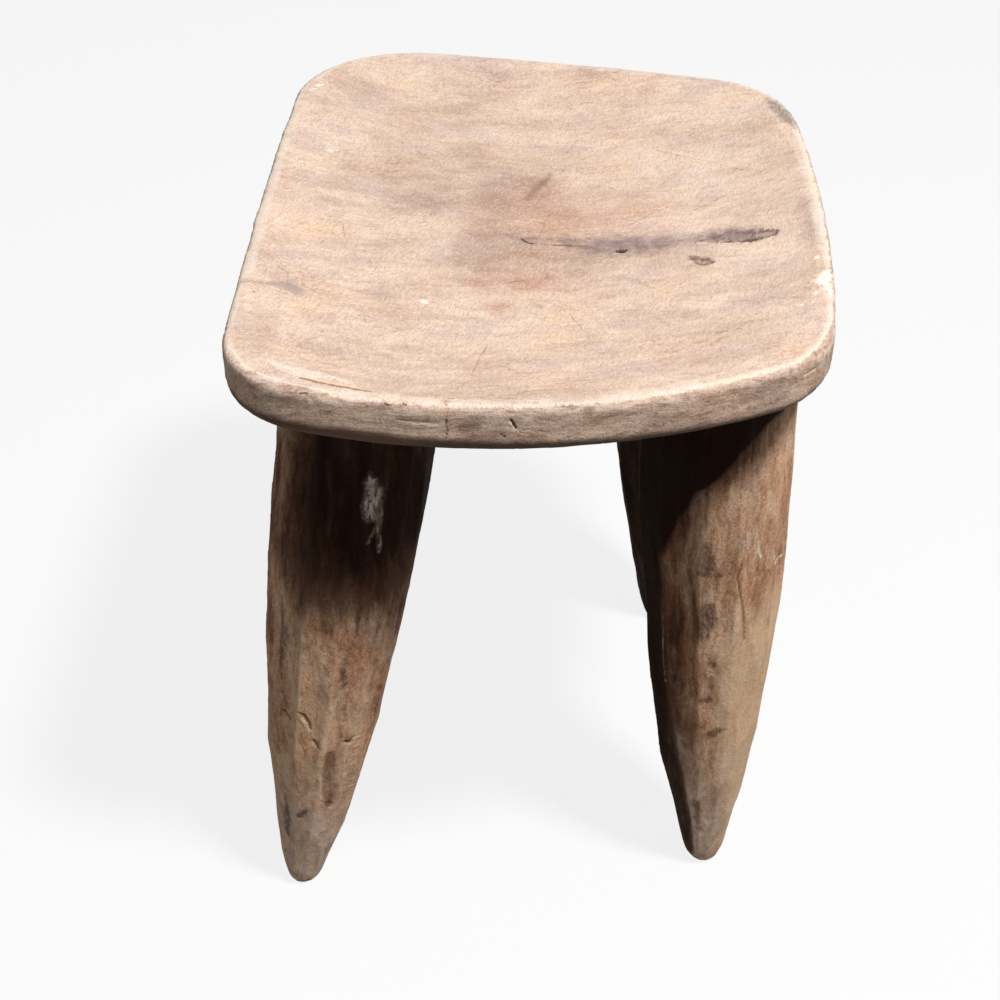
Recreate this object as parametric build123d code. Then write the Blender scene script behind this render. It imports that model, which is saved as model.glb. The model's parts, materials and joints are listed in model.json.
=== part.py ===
from build123d import *

import os
from math import ceil, cos, exp, log, pi, sin

# A low four-legged stool, carved from one log: a dished seat board that rises towards its left
# and right edges, and four hewn legs, shaped like tusks, that grow out of its underside.
# Seen by someone facing its front: X runs to the right, Y to the rear and Z up.
# The floor is at Z = 0, and the origin is under the middle of the stool's box.

# Heights of the seat board
rim_height = 390.0          # floor to the top of the rim, halfway along its front edge
saddle_rise = 8.0           # how much higher the rim stands at its left and right ends
saddle_half_span = 150.0    # distance from the middle where it has risen that much
rim_thickness = 25.0        # height of the rim's outer face
rim_top_bevel = 2.4         # wear along the rim's top edge
rim_under_bevel = 4.5       # rounding along the rim's lower edge

# Hollow in the top of the seat, and the belly under it
lip_width = 6.0             # worn lip round the dish, level with the rim
dish_depth = 11.5           # fall from the lip to the middle of the dish
dish_run = 125.0            # distance from the lip to where the dish is level
belly_depth = 9.0           # how far the underside swells below the rim's lower edge
belly_run = 130.0           # distance from the rim to where the belly is level
corner_blend = 24.0         # how widely the falls from two sides melt together at a corner
sheet_pitch = 24.0          # spacing of the points that carry the top and the underside

# Plan of the seat: four corner points, before they are rounded, joined by bowed sides
front_left_x = -152.0
front_left_y = -168.0
front_right_x = 137.5
front_right_y = -151.0
rear_right_x = 145.5
rear_right_y = 130.5
rear_left_x = -133.5
rear_left_y = 190.0
front_bow = 26.0            # how far the middle of each side stands out of its straight line
right_bow = 10.0
rear_bow = 19.0
left_bow = 3.7
front_left_round = 41.0     # radius of each rounded corner
front_right_round = 46.0
rear_right_round = 74.0
rear_left_round = 77.0

# Legs: the root's centre, measured inwards from the seat's corner point, how far the foot
# stands away from the root, and the greatest width (along X) and depth (along Y)
front_left_root_inset_x = 70.0
front_left_root_inset_y = 64.0
front_left_splay_x = -58.0
front_left_splay_y = -27.0
front_left_leg_width = 80.5
front_left_leg_depth = 80.0

front_right_root_inset_x = 49.0
front_right_root_inset_y = 49.0
front_right_splay_x = 17.5
front_right_splay_y = -12.0
front_right_leg_width = 79.0
front_right_leg_depth = 80.0

rear_right_root_inset_x = 62.0
rear_right_root_inset_y = 42.0
rear_right_splay_x = 10.0
rear_right_splay_y = 18.0
rear_right_leg_width = 75.0
rear_right_leg_depth = 76.0

rear_left_root_inset_x = 48.0
rear_left_root_inset_y = 69.0
rear_left_splay_x = -34.0
rear_left_splay_y = 20.0
rear_left_leg_width = 78.0
rear_left_leg_depth = 80.0

cut_margin = 20.0           # how far the cutting sheets reach past the seat's outline

# How steeply dish and belly start at the rim: 1 is an even slope, and a larger number a bowl
dish_steepness = 3
belly_steepness = 2

# A bevel is eased along both of its edges by smaller ones, of this share of its size
easing_share = 0.38

# How closely the sheets follow their points, as a share of the spacing of those points
fit_share = 0.004

# A leg's girth, as shares of its greatest width and depth, at heights that are shares of the
# way from the floor to the rim: a blunt foot, a full calf and a slight flare at the root
height_shares = (0.0, 0.012, 0.04, 0.095, 0.15, 0.23, 0.305, 0.38, 0.455, 0.525, 0.61, 0.73, 0.84, 0.9, 1.0)
girth_shares = (0.20, 0.26, 0.335, 0.43, 0.525, 0.645, 0.74, 0.815, 0.88, 0.925, 0.965, 0.995, 1.0, 1.02, 1.15)

# The hewn facets round a leg: where each ridge stands, as a share of a full turn, and how far
# out it is, as a share of the leg's half width
ridge_turn_shares = (0.02, 0.105, 0.18, 0.26, 0.345, 0.43, 0.51, 0.59, 0.68, 0.76, 0.845, 0.925)
ridge_reach_shares = (1.03, 1.0, 1.03, 0.99, 1.02, 1.0, 1.03, 0.99, 1.02, 1.01, 1.0, 1.02)

# Each leg was hewn by eye, so its ridges stand turned by another share of a full turn
front_left_facet_share = 0.0
front_right_facet_share = 0.03
rear_right_facet_share = 0.055
rear_left_facet_share = 0.085

corners = [
    Vector(front_left_x, front_left_y),
    Vector(front_right_x, front_right_y),
    Vector(rear_right_x, rear_right_y),
    Vector(rear_left_x, rear_left_y),
]
bows = [front_bow, right_bow, rear_bow, left_bow]
rounds = [front_left_round, front_right_round, rear_right_round, rear_left_round]


def side_circle(index):
    """Centre and radius of the arc that one side of the seat follows."""
    start, end = corners[index], corners[(index + 1) % len(corners)]
    chord = end - start
    bow = bows[index]
    radius = (chord.length**2 / 4 + bow**2) / (2 * bow)
    outward = Vector(chord.Y, -chord.X).normalized()
    return (start + end) / 2 - outward * (radius - bow), radius


side_circles = [side_circle(index) for index in range(len(corners))]


def seat_plan():
    """The outline of the seat: four bowed sides with rounded corners."""
    sides = []
    for index, corner in enumerate(corners):
        end = corners[(index + 1) % len(corners)]
        centre, radius = side_circles[index]
        middle = centre + ((corner + end) / 2 - centre).normalized() * radius
        sides.append(ThreePointArc(corner, middle, end))
    outline = Face(Wire(sides))
    for corner, radius in zip(corners, rounds):
        nearest = outline.vertices().sort_by_distance(corner)[0]
        outline = outline.fillet_2d(radius, [nearest])
    return outline


plan = seat_plan()
plan_box = plan.bounding_box()


def distance_inside(x, y):
    """Distance from the nearest side of the seat, melted together near its corners."""
    gaps = [radius - (Vector(x, y) - centre).length for centre, radius in side_circles]
    nearest = min(gaps)
    return nearest - corner_blend * log(sum(exp((nearest - gap) / corner_blend) for gap in gaps))


def fall(distance, run, steepness):
    """From 0 at the edge to 1 once level, steeper at the edge where steepness is larger."""
    return 1 - (1 - min(distance / run, 1)) ** steepness


def rim_line(x, y):
    return rim_height + saddle_rise * (x / saddle_half_span) ** 2


def dish_line(x, y):
    return rim_line(x, y) - dish_depth * fall(distance_inside(x, y) - lip_width, dish_run, dish_steepness)


def underside_line(x, y):
    return rim_line(x, y) - rim_thickness - belly_depth * fall(distance_inside(x, y), belly_run, belly_steepness)


def space_above(height_line):
    """All that lies above a smooth sheet, whose height a formula gives for each place."""
    low_x, low_y = plan_box.min.X - cut_margin, plan_box.min.Y - cut_margin
    span_x, span_y = plan_box.size.X + 2 * cut_margin, plan_box.size.Y + 2 * cut_margin
    count_x, count_y = ceil(span_x / sheet_pitch), ceil(span_y / sheet_pitch)
    ys = [low_y + span_y * j / count_y for j in range(count_y + 1)]
    rows = []
    for i in range(count_x + 1):
        x = low_x + span_x * i / count_x
        rows.append([Vector(x, y, height_line(x, y)) for y in ys])
    sheet = Face.make_surface_from_array_of_points(rows, tol=sheet_pitch * fit_share)
    return extrude(sheet, rim_height, dir=(0, 0, 1))


above_rim = space_above(rim_line)
above_dish = space_above(dish_line)
above_underside = space_above(underside_line)


def broad_face(board, upward):
    """The upper broad face of a board, or the lower one where upward is -1."""
    broad_faces = board.faces().sort_by(SortBy.AREA)[-2:]
    return max(broad_faces, key=lambda face: face.center().Z * upward)


def ease_edge(board, upward, size):
    """Bevel one edge of the rim, then ease both edges of that bevel, as wear does."""
    board = chamfer(broad_face(board, upward).edges(), size)
    walls = board.faces().filter_by(GeomType.CYLINDER)
    wall_edges = [max(wall.edges(), key=lambda edge: edge.center().Z * upward) for wall in walls]
    board = chamfer(wall_edges, size * easing_share)
    return chamfer(broad_face(board, upward).edges(), size * easing_share)


def make_seat():
    """The board between the saddle and the belly, with eased rim edges and a dish in its top."""
    log_slice = extrude(plan, 2 * rim_height, dir=(0, 0, 1))
    board = (log_slice & above_underside) - above_rim
    board = ease_edge(board, 1, rim_top_bevel)
    board = ease_edge(board, -1, rim_under_bevel)
    return board - above_dish


def leg_ring(centre, width, depth, facet_share):
    """One closed ring across a leg: a ridge at each corner and a hewn flat between."""
    points = []
    for turn_share, reach_share in zip(ridge_turn_shares, ridge_reach_shares):
        angle = 2 * pi * (turn_share + facet_share)
        points.append(centre + Vector(width * cos(angle), depth * sin(angle)) * reach_share / 2)
    return Wire.make_polygon(points, close=True)


def make_leg(root_x, root_y, splay_x, splay_y, width, depth, facet_share):
    """A tusk that stands on its flat foot and ends exactly at the seat's underside."""
    root = Vector(root_x, root_y, rim_height)
    foot = Vector(root_x + splay_x, root_y + splay_y)
    rings = []
    for height_share, girth_share in zip(height_shares, girth_shares):
        centre = foot + (root - foot) * height_share
        rings.append(leg_ring(centre, width * girth_share, depth * girth_share, facet_share))
    return Part() + Solid.make_loft(rings) - above_underside


stool = {
    "seat": make_seat(),
    "leg_front_left": make_leg(
        front_left_x + front_left_root_inset_x,
        front_left_y + front_left_root_inset_y,
        front_left_splay_x,
        front_left_splay_y,
        front_left_leg_width,
        front_left_leg_depth,
        front_left_facet_share,
    ),
    "leg_front_right": make_leg(
        front_right_x - front_right_root_inset_x,
        front_right_y + front_right_root_inset_y,
        front_right_splay_x,
        front_right_splay_y,
        front_right_leg_width,
        front_right_leg_depth,
        front_right_facet_share,
    ),
    "leg_rear_right": make_leg(
        rear_right_x - rear_right_root_inset_x,
        rear_right_y - rear_right_root_inset_y,
        rear_right_splay_x,
        rear_right_splay_y,
        rear_right_leg_width,
        rear_right_leg_depth,
        rear_right_facet_share,
    ),
    "leg_rear_left": make_leg(
        rear_left_x + rear_left_root_inset_x,
        rear_left_y - rear_left_root_inset_y,
        rear_left_splay_x,
        rear_left_splay_y,
        rear_left_leg_width,
        rear_left_leg_depth,
        rear_left_facet_share,
    ),
}

# The origin goes under the middle of the whole stool's box
stool_box = Compound(children=list(stool.values())).bounding_box()
shift = Vector(-stool_box.center().X, -stool_box.center().Y)
print(f"moved by X {shift.X:.2f}, Y {shift.Y:.2f}")

os.makedirs("parts", exist_ok=True)
for name, piece in stool.items():
    placed = piece.solid().moved(Location(shift))
    export_step(placed, f"parts/{name}.step")
    box = placed.bounding_box()
    foot = placed.faces().sort_by(Axis.Z)[0].center()
    print(f"{name}: {placed.volume / 1000:.0f} cm3, lowest face at {foot.X:.2f}, {foot.Y:.2f}, {foot.Z:.2f}")
    print(f"    X {box.min.X:.1f} to {box.max.X:.1f}, Y {box.min.Y:.1f} to {box.max.Y:.1f},"
          f" Z {box.min.Z:.1f} to {box.max.Z:.1f}")
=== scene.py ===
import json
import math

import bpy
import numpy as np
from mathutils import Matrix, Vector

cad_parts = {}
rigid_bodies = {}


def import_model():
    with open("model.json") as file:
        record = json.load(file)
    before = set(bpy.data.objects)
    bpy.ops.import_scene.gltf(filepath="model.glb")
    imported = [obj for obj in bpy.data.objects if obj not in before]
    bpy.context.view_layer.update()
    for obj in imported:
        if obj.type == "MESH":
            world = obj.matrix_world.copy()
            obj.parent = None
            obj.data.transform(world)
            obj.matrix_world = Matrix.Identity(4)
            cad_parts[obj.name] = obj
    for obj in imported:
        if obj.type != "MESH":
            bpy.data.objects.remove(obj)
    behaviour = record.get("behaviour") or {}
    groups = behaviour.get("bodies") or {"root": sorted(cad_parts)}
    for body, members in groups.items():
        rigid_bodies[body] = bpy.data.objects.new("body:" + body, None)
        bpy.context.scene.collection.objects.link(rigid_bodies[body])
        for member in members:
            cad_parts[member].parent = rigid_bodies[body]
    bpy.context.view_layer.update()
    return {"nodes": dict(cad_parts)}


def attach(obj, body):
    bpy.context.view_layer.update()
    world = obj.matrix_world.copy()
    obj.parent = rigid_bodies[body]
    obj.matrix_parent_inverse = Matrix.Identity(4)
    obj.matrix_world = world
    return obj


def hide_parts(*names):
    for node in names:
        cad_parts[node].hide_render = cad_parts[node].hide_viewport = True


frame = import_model()

# %% [markdown]
# # A carved stool from one block of wood
# The real stool is a single piece of a log: a dished seat board and four tusk-shaped legs, hewn
# with an adze, scraped on top and then worn smooth by years of sitting. Nothing on it is flat,
# straight or symmetric, and that is what the eye reads as hand-carved.
# The solids that were just loaded already have the right sizes. They could be shown as they are,
# but their faces are too even. So each one is copied, turned into a fine even mesh and then hewn,
# worn, chipped and cracked, and the worn copy stands for the solid.

MM = 0.001

# an operator acts on all that is selected, and the solids come in selected
for obj in bpy.data.objects:
    obj.select_set(False)
print("solids:", ", ".join(sorted(frame["nodes"])))

# %% [markdown]
# ## Colours and nodes
# Colours are easiest to choose as the eight-bit codes that a paint program shows, but light adds
# up in linear numbers, so one function turns the one into the other. A second one adds a node,
# with its settings and its links, so that a material below reads as a list of what it is made of.

# %% Colour and node helpers
def srgb(code):
    """Linear RGBA from a colour code such as C8A080."""
    parts = [int(code[i:i + 2], 16) / 255 for i in (0, 2, 4)]
    return [p / 12.92 if p <= 0.04045 else ((p + 0.055) / 1.055) ** 2.4 for p in parts] + [1.0]


def node(tree, kind, inputs=None, **settings):
    """Add a node, with its settings, and give each input a value or a link."""
    made = tree.nodes.new(kind)
    for name, value in settings.items():
        setattr(made, name, value)
    for name, value in (inputs or {}).items():
        if isinstance(value, bpy.types.NodeSocket):
            tree.links.new(value, made.inputs[name])
        else:
            made.inputs[name].default_value = value
    return made


print("a mid grey, 808080, is", round(srgb("808080")[0], 3), "in linear light")

# %% [markdown]
# ## The camera
# The photograph looks down on the stool from the front. Its camera could be set by eye, but then
# every outline would be a little off. It was worked out from the outline of the seat and from the
# feet: about 1.1 m away, with a portrait lens of 65 mm, tilted down by 39 degrees.

# %% Camera
# in metres and degrees
CAMERA_PLACE = (-0.01897, -0.85243, 0.8697)
CAMERA_TILT_DOWN = 38.70
camera_data = bpy.data.cameras.new("camera")
camera_data.sensor_width = 36
camera_data.lens = 64.8
camera = bpy.data.objects.new("camera", camera_data)
camera.location = CAMERA_PLACE
camera.rotation_euler = (math.radians(90 - CAMERA_TILT_DOWN), 0, 0)
bpy.context.scene.collection.objects.link(camera)
bpy.context.scene.camera = camera
print("camera at", [round(v, 3) for v in camera.location])

# %% [markdown]
# ## The light
# A plain softbox hangs high on the right and a little to the front, as the shade under the real
# seat says. A small one gives the seat's shadow on the legs a readable edge; a wide one would
# wash it away. Its power is such that a colour renders about as it is written.

# %% Softbox
SEAT_MIDDLE = Vector((0, 0, 0.3))
TOWARDS_LAMP = Vector((0.36, -0.33, 1.0)).normalized()
LAMP_DISTANCE = 2.2
softbox_data = bpy.data.lights.new("softbox", "AREA")
softbox_data.shape = "DISK"
softbox_data.size = 0.30
softbox_data.energy = 47.5
softbox = bpy.data.objects.new("softbox", softbox_data)
softbox.location = SEAT_MIDDLE + LAMP_DISTANCE * TOWARDS_LAMP
softbox.rotation_euler = (softbox.location - SEAT_MIDDLE).to_track_quat("Z", "Y").to_euler()
bpy.context.scene.collection.objects.link(softbox)
print("softbox at", [round(v, 2) for v in softbox.location])

# %% [markdown]
# ## A pale surround that lights little
# The background is white, but a white world would also flood the stool with light. The light path
# tells the two apart: a ray from the camera, or one that a gloss or a glass sends on, meets white,
# and every other ray meets a dim fill that only softens the shadows.

# %% Surround
def seen_directly(tree):
    """1 for the camera's rays and those that gloss or glass sends on, 0 for rays of light."""
    path = node(tree, "ShaderNodeLightPath")
    seen = path.outputs["Is Camera Ray"]
    for other in ("Is Glossy Ray", "Is Transmission Ray"):
        seen = node(tree, "ShaderNodeMath", {0: seen, 1: path.outputs[other]},
                    operation="MAXIMUM").outputs[0]
    return seen


world = bpy.data.worlds.new("pale_surround")
world.use_nodes = True
bpy.context.scene.world = world
tree = world.node_tree
tree.nodes.clear()
fill = node(tree, "ShaderNodeBackground", {"Color": srgb("FFFFFF"), "Strength": 0.18})
backdrop = node(tree, "ShaderNodeBackground", {"Color": srgb("FFFFFF"), "Strength": 1.0})
mixed = node(tree, "ShaderNodeMixShader", {
    0: seen_directly(tree), 1: fill.outputs[0], 2: backdrop.outputs[0]})
node(tree, "ShaderNodeOutputWorld", {"Surface": mixed.outputs[0]})
print("surround:", len(tree.nodes), "nodes")

# %% [markdown]
# ## A pale floor that keeps the shadow
# The floor is matt studio paper off a roll. A shadow catcher would do too, but its picture has to
# be laid over a background afterwards. So to the camera the paper is nearly white, mostly by a
# glow of its own, and the rest of it is lit, which is where the stool's shadow shows. To the
# stool it is a mid grey, so that it doesn't light the underside too much. It is wide enough to
# fill low views.

# %% Floor
FLOOR_SIZE = 40
GLOW_SHARE = 0.84
bpy.ops.mesh.primitive_plane_add(size=FLOOR_SIZE)
floor = bpy.context.active_object
floor.name = "floor"
floor.select_set(False)
# matt paper off a roll: the eye sees no grain and no shine, only the shadow
paper = bpy.data.materials.new("pale_floor_paper")
paper.use_nodes = True
tree = paper.node_tree
tree.nodes.clear()
grey_side = node(tree, "ShaderNodeBsdfDiffuse", {"Color": srgb("969391")})
white_side = node(tree, "ShaderNodeBsdfDiffuse", {"Color": srgb("F6F6F5")})
glow = node(tree, "ShaderNodeEmission", {"Color": srgb("FFFFFF"), "Strength": 1.0})
shown = node(tree, "ShaderNodeMixShader", {
    0: GLOW_SHARE, 1: white_side.outputs[0], 2: glow.outputs[0]})
mixed = node(tree, "ShaderNodeMixShader", {
    0: seen_directly(tree), 1: grey_side.outputs[0], 2: shown.outputs[0]})
node(tree, "ShaderNodeOutputMaterial", {"Surface": mixed.outputs[0]})
floor.data.materials.append(paper)
bpy.context.scene.view_settings.view_transform = "Standard"
print("floor:", FLOOR_SIZE, "m wide")

# %% [markdown]
# ## From a solid to a block that can be carved
# A solid's mesh has long thin triangles, which can't bend into tool marks. Subdividing them would
# only give more thin ones, so the form is remeshed, as sculptors do: the voxel remesh wraps it in
# small even squares. The copy is merged by distance first, because its triangles are loose.

# %% Copy a solid
def only(piece):
    """Select this piece alone and make it the active one."""
    bpy.ops.object.select_all(action="DESELECT")
    piece.hide_set(False)
    piece.select_set(True)
    bpy.context.view_layer.objects.active = piece


def block_from(node_name, piece_name):
    """A merged copy of a solid's mesh, as a new piece."""
    piece = bpy.data.objects.new(piece_name, frame["nodes"][node_name].data.copy())
    bpy.context.scene.collection.objects.link(piece)
    piece.data.materials.clear()
    only(piece)
    bpy.ops.object.mode_set(mode="EDIT")
    bpy.ops.mesh.select_all(action="SELECT")
    bpy.ops.mesh.remove_doubles(threshold=0.01 * MM)
    bpy.ops.object.mode_set(mode="OBJECT")
    return piece


seat = block_from("seat", "seat_board")
print("seat block:", len(seat.data.vertices), "vertices")

# %% [markdown]
# ## An even mesh
# Remeshing leaves small steps, and smoothing them away also shrinks the form. So the smoothed mesh
# is wrapped back on the faces that it came from, which brings the real size back, and smoothed
# once more, lightly.

# %% Remesh, smooth and wrap back
def apply_modifier(piece, kind, **settings):
    """Add a modifier with its settings, and apply it at once."""
    only(piece)
    modifier = piece.modifiers.new(kind.lower(), kind)
    for name, value in settings.items():
        setattr(modifier, name, value)
    bpy.ops.object.modifier_apply(modifier=modifier.name)


def even_mesh(piece, voxel_mm):
    """Remesh a block in small even squares, and lay them back on its own faces."""
    first_form = piece.copy()
    first_form.data = piece.data.copy()
    bpy.context.scene.collection.objects.link(first_form)
    apply_modifier(piece, "REMESH", mode="VOXEL", voxel_size=voxel_mm * MM)
    apply_modifier(piece, "SMOOTH", factor=0.5, iterations=3)
    apply_modifier(piece, "SHRINKWRAP", target=first_form)
    apply_modifier(piece, "SMOOTH", factor=0.5, iterations=1)
    bpy.data.objects.remove(first_form)


even_mesh(seat, voxel_mm=2.0)
print("even seat mesh:", len(seat.data.vertices), "vertices")

# %% [markdown]
# ## Vertices as one table
# An operator moves all vertices alike, but wear needs a reason for each one: how near it is to the
# rim, or how much it stands out. So the positions are read into one table of X, Y and Z in
# millimetres, worked on there, and written back.

# %% Read and write the vertices
def points_of(piece):
    """Vertex positions in millimetres, as rows of X, Y, Z."""
    flat = np.empty(len(piece.data.vertices) * 3, np.float32)
    piece.data.vertices.foreach_get("co", flat)
    return flat.reshape(-1, 3).astype(float) / MM


def normals_of(piece):
    """The way that each vertex faces, as rows of X, Y, Z."""
    flat = np.empty(len(piece.data.vertices) * 3, np.float32)
    piece.data.vertex_normals.foreach_get("vector", flat)
    return flat.reshape(-1, 3).astype(float)


def move_points(piece, points):
    """Put the vertices at these places, given in millimetres."""
    piece.data.vertices.foreach_set("co", (points * MM).astype(np.float32).ravel())
    piece.data.update()


def soft_step(value, low, high):
    """From 0 at low to 1 at high, with a gentle start and end."""
    t = np.clip((value - low) / (high - low), 0, 1)
    return t * t * (3 - 2 * t)


print("seat, lowest and highest point in mm:", points_of(seat)[:, 2].min().round(1),
      points_of(seat)[:, 2].max().round(1))

# %% [markdown]
# ## Where the rim is
# Much of what follows depends on the rim's top edge: dirt and hewing are below it, and wear is on
# it. One number says how far a point is over it: 0 on the edge, below 0 on the top, above 0 down
# the face. The outline bows outwards all round, so a point's distance inside it is the smallest of
# its distances from straight fences, set up in many directions.

# %% Distance over the rim's top edge
# the rim is 390 mm above the floor, and 8 mm higher at 150 mm to either side
RIM_HEIGHT, SADDLE_RISE, SADDLE_HALF_SPAN = 390, 8, 150
FENCES = 180
EDGE_WIDTH = 4


def over_the_rim(points):
    """Distance over the rim's top edge: below 0 on the top, above 0 down the face."""
    inside = np.full(len(points), np.inf)
    for angle in np.arange(FENCES) * 2 * math.pi / FENCES:
        reach = points[:, 0] * math.cos(angle) + points[:, 1] * math.sin(angle)
        inside = np.minimum(inside, reach.max() - reach)
    drop = RIM_HEIGHT + SADDLE_RISE * (points[:, 0] / SADDLE_HALF_SPAN) ** 2 - points[:, 2]
    return drop - inside


near_edge = np.abs(over_the_rim(points_of(seat))) < EDGE_WIDTH
print("within", EDGE_WIDTH, "mm of the edge:", near_edge.sum(), "vertices")

# %% [markdown]
# ## A finer mesh for small details
# A nick of one millimetre needs vertices closer than that. A finer mesh all over would cost a
# million triangles, so only the faces near a detail are subdivided.

# %% Subdivide near a detail
def refine(piece, near, cuts):
    """Subdivide the faces whose vertices are all marked as near a small detail."""
    only(piece)
    bpy.context.tool_settings.mesh_select_mode = (False, False, True)
    starts = np.empty(len(piece.data.polygons), np.int32)
    piece.data.polygons.foreach_get("loop_start", starts)
    corners = np.empty(len(piece.data.loops), np.int32)
    piece.data.loops.foreach_get("vertex_index", corners)
    chosen = np.minimum.reduceat(near[corners].astype(np.int8), starts).astype(bool)
    piece.data.polygons.foreach_set("select", chosen)
    piece.data.edges.foreach_set("select", np.zeros(len(piece.data.edges), bool))
    piece.data.vertices.foreach_set("select", np.zeros(len(piece.data.vertices), bool))
    bpy.ops.object.mode_set(mode="EDIT")
    bpy.ops.mesh.subdivide(number_cuts=cuts)
    bpy.ops.object.mode_set(mode="OBJECT")


refine(seat, near_edge, cuts=1)
print("seat with a finer rim edge:", len(seat.data.vertices), "vertices")

# %% [markdown]
# ## Tool marks
# An adze takes shallow scoops, one beside the other, and leaves a low ridge wherever two meet.
# Carving hundreds by hand would take days. A cell pattern does the same: inside each cell the
# height grows with the square of the distance from its middle. Stretched along the cut, it reads
# as hewing. Clouds give the slow, uneven rise and fall that no hand can avoid. Both are
# displacements, so they are real shape and not paint.

# %% Hewing with cells and clouds
def guide_frame(location, direction, stretch):
    """An empty whose Z runs along the cuts, so that patterns stretch that way."""
    guide = bpy.data.objects.new("cut_direction", None)
    bpy.context.scene.collection.objects.link(guide)
    guide.location = location
    guide.rotation_euler = Vector(direction).to_track_quat("Z", "Y").to_euler()
    guide.scale = (1, 1, stretch)
    bpy.context.view_layer.update()
    return guide


def hew(piece, guide, kind, size_mm, depth_mm, middle=0.5):
    """Displace the surface by cells (scoops) or clouds (unevenness) of a real size."""
    texture = bpy.data.textures.new(kind.lower(), kind)
    texture.noise_scale = size_mm * MM
    if kind == "VORONOI":
        texture.distance_metric = "DISTANCE_SQUARED"
    else:
        texture.noise_depth = 2
    apply_modifier(piece, "DISPLACE", texture=texture, texture_coords="OBJECT",
                   texture_coords_object=guide, strength=depth_mm * MM, mid_level=middle)


print("patterns for hewing: cells and clouds")

# %% [markdown]
# ## The seat board, hewn and scraped
# The adze worked along X, from side to side, in scoops about 24 mm wide. The top was scraped
# afterwards and then polished by clothes, so it keeps less than half of what the rim and the
# underside keep.

# %% Hew the seat
along_x = guide_frame((0, 0, 0), (1, 0, 0.02), stretch=2.2)
along_fibres = guide_frame((0, 0, 0), (1, 0, -0.05), stretch=9)
before = points_of(seat)
hew(seat, along_x, "CLOUDS", size_mm=34, depth_mm=1.1)
hew(seat, along_x, "VORONOI", size_mm=24, depth_mm=0.9, middle=0.25)
hew(seat, along_x, "CLOUDS", size_mm=5, depth_mm=0.7)
hew(seat, along_fibres, "CLOUDS", size_mm=4, depth_mm=0.7)
top_share = soft_step(normals_of(seat)[:, 2], 0.75, 0.95) * soft_step(-over_the_rim(before), 0, 8)
kept_on_rim, kept_on_top = 0.7, 0.3
keep = kept_on_rim - (kept_on_rim - kept_on_top) * top_share
move_points(seat, before + (points_of(seat) - before) * keep[:, None])
print("deepest tool mark on the seat, in mm:",
      np.linalg.norm(points_of(seat) - before, axis=1).max().round(2))

# %% [markdown]
# ## How a mark is written down
# Marks that catch the eye are put where the real stool has them. Each is a short line of points,
# given as X, Y, Z and half width, all in millimetres. The mesh could be cut by drawing on it, but
# numbers can be corrected one by one. From a line comes each vertex's distance to the mark, below 0
# inside it, and this one distance serves twice: to push the surface in, and to colour it.

# %% Distance to a mark
def away_from(points, line):
    """Signed distance in millimetres from a line of X, Y, Z, half width: below 0 is inside."""
    best = np.full(len(points), np.inf)
    if len(line) == 1:
        line = line * 2
    for start, end in zip(line, line[1:]):
        a, b = np.array(start[:3], float), np.array(end[:3], float)
        run = b - a
        t = np.clip((points - a) @ run / max(run @ run, 1e-9), 0, 1)
        gap = np.linalg.norm(points - (a + t[:, None] * run), axis=1)
        best = np.minimum(best, gap - (start[3] + (end[3] - start[3]) * t))
    return best


def nearest(points, lines):
    """Signed distance to the nearest of several lines, kept under 20 mm."""
    return np.minimum(np.min([away_from(points, line) for line in lines], axis=0), 20)


def carve(piece, cuts):
    """Push the surface in along marks: a line, its depth and the width of its slope, in mm."""
    points, normals = points_of(piece), normals_of(piece)
    sink = np.zeros(len(points))
    for line, depth_mm, slope_mm in cuts:
        inside = 1 - soft_step(away_from(points, line), -slope_mm / 2, slope_mm / 2)
        sink += depth_mm * inside
    move_points(piece, points - normals * sink[:, None])


def store(piece, name, values):
    """Keep one number for each vertex, for the material to read."""
    attributes = piece.data.attributes
    attribute = attributes.get(name) or attributes.new(name, "FLOAT", "POINT")
    attribute.data.foreach_set("value", values.astype(np.float32))


print("a point 5 mm beside a line 1 mm wide is", away_from(np.array([[0, 5, 0]]),
      [(-9, 0, 0, 0.5), (9, 0, 0, 0.5)])[0], "mm away from it")

# %% [markdown]
# ## The drying check and its stain
# Wood dries fastest at its surface and opens in checks along the grain. One runs across the
# right half of the seat, with a small hole in it. Damp got in and left a grey wash, darkest at its
# right end. The wash has a core, a dark outline and a pale tail, and each is a mark of its own.

# %% The check and its stain
check_line = [
    (-7.6, -16.4, 378.5, 0.1), (-6.4, -17.8, 378.5, 0.5), (-4.4, -20.6, 378.5, 0.25),
    (1.2, -21.5, 378.4, 0.15), (5, -21.8, 378.4, 0.35), (12.8, -23.4, 378.5, 0.15),
    (24.4, -24.5, 378.8, 0.1)]
check_hole = [(42.8, -30.8, 379.4, 1.1), (45.2, -31.0, 379.5, 1.9), (47.2, -30, 379.6, 1.0)]
stain_wash = [
    (-14, -16, 378.5, 1.5), (-6, -17, 378.5, 3.0), (8, -18, 378.5, 2.5), (20, -21, 378.7, 6.0),
    (30, -24, 379, 9.5), (42, -26, 379.4, 11.5), (56, -26, 380, 10.5), (66, -24, 380.8, 7.5),
    (76, -23.5, 381.8, 4.8), (86, -23.5, 383, 3.8), (95, -22.5, 384.4, 5.6),
    (104, -22.5, 385.8, 6.4), (112, -25.5, 387.4, 5.0), (119, -27.6, 389.2, 2.6),
    (125.6, -30.5, 391.1, 1.6)]
stain_core = [
    (86.6, -25.2, 383, 0.7), (92.9, -25.4, 383.9, 2.2), (98.1, -25.4, 384.7, 4.2),
    (104.7, -26.0, 385.9, 5.8), (109.8, -27.3, 387.1, 5.4), (115.1, -29.7, 388.3, 3.8),
    (119.7, -30, 389.5, 3.2), (124.3, -30.6, 390.8, 2.2)]
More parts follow.
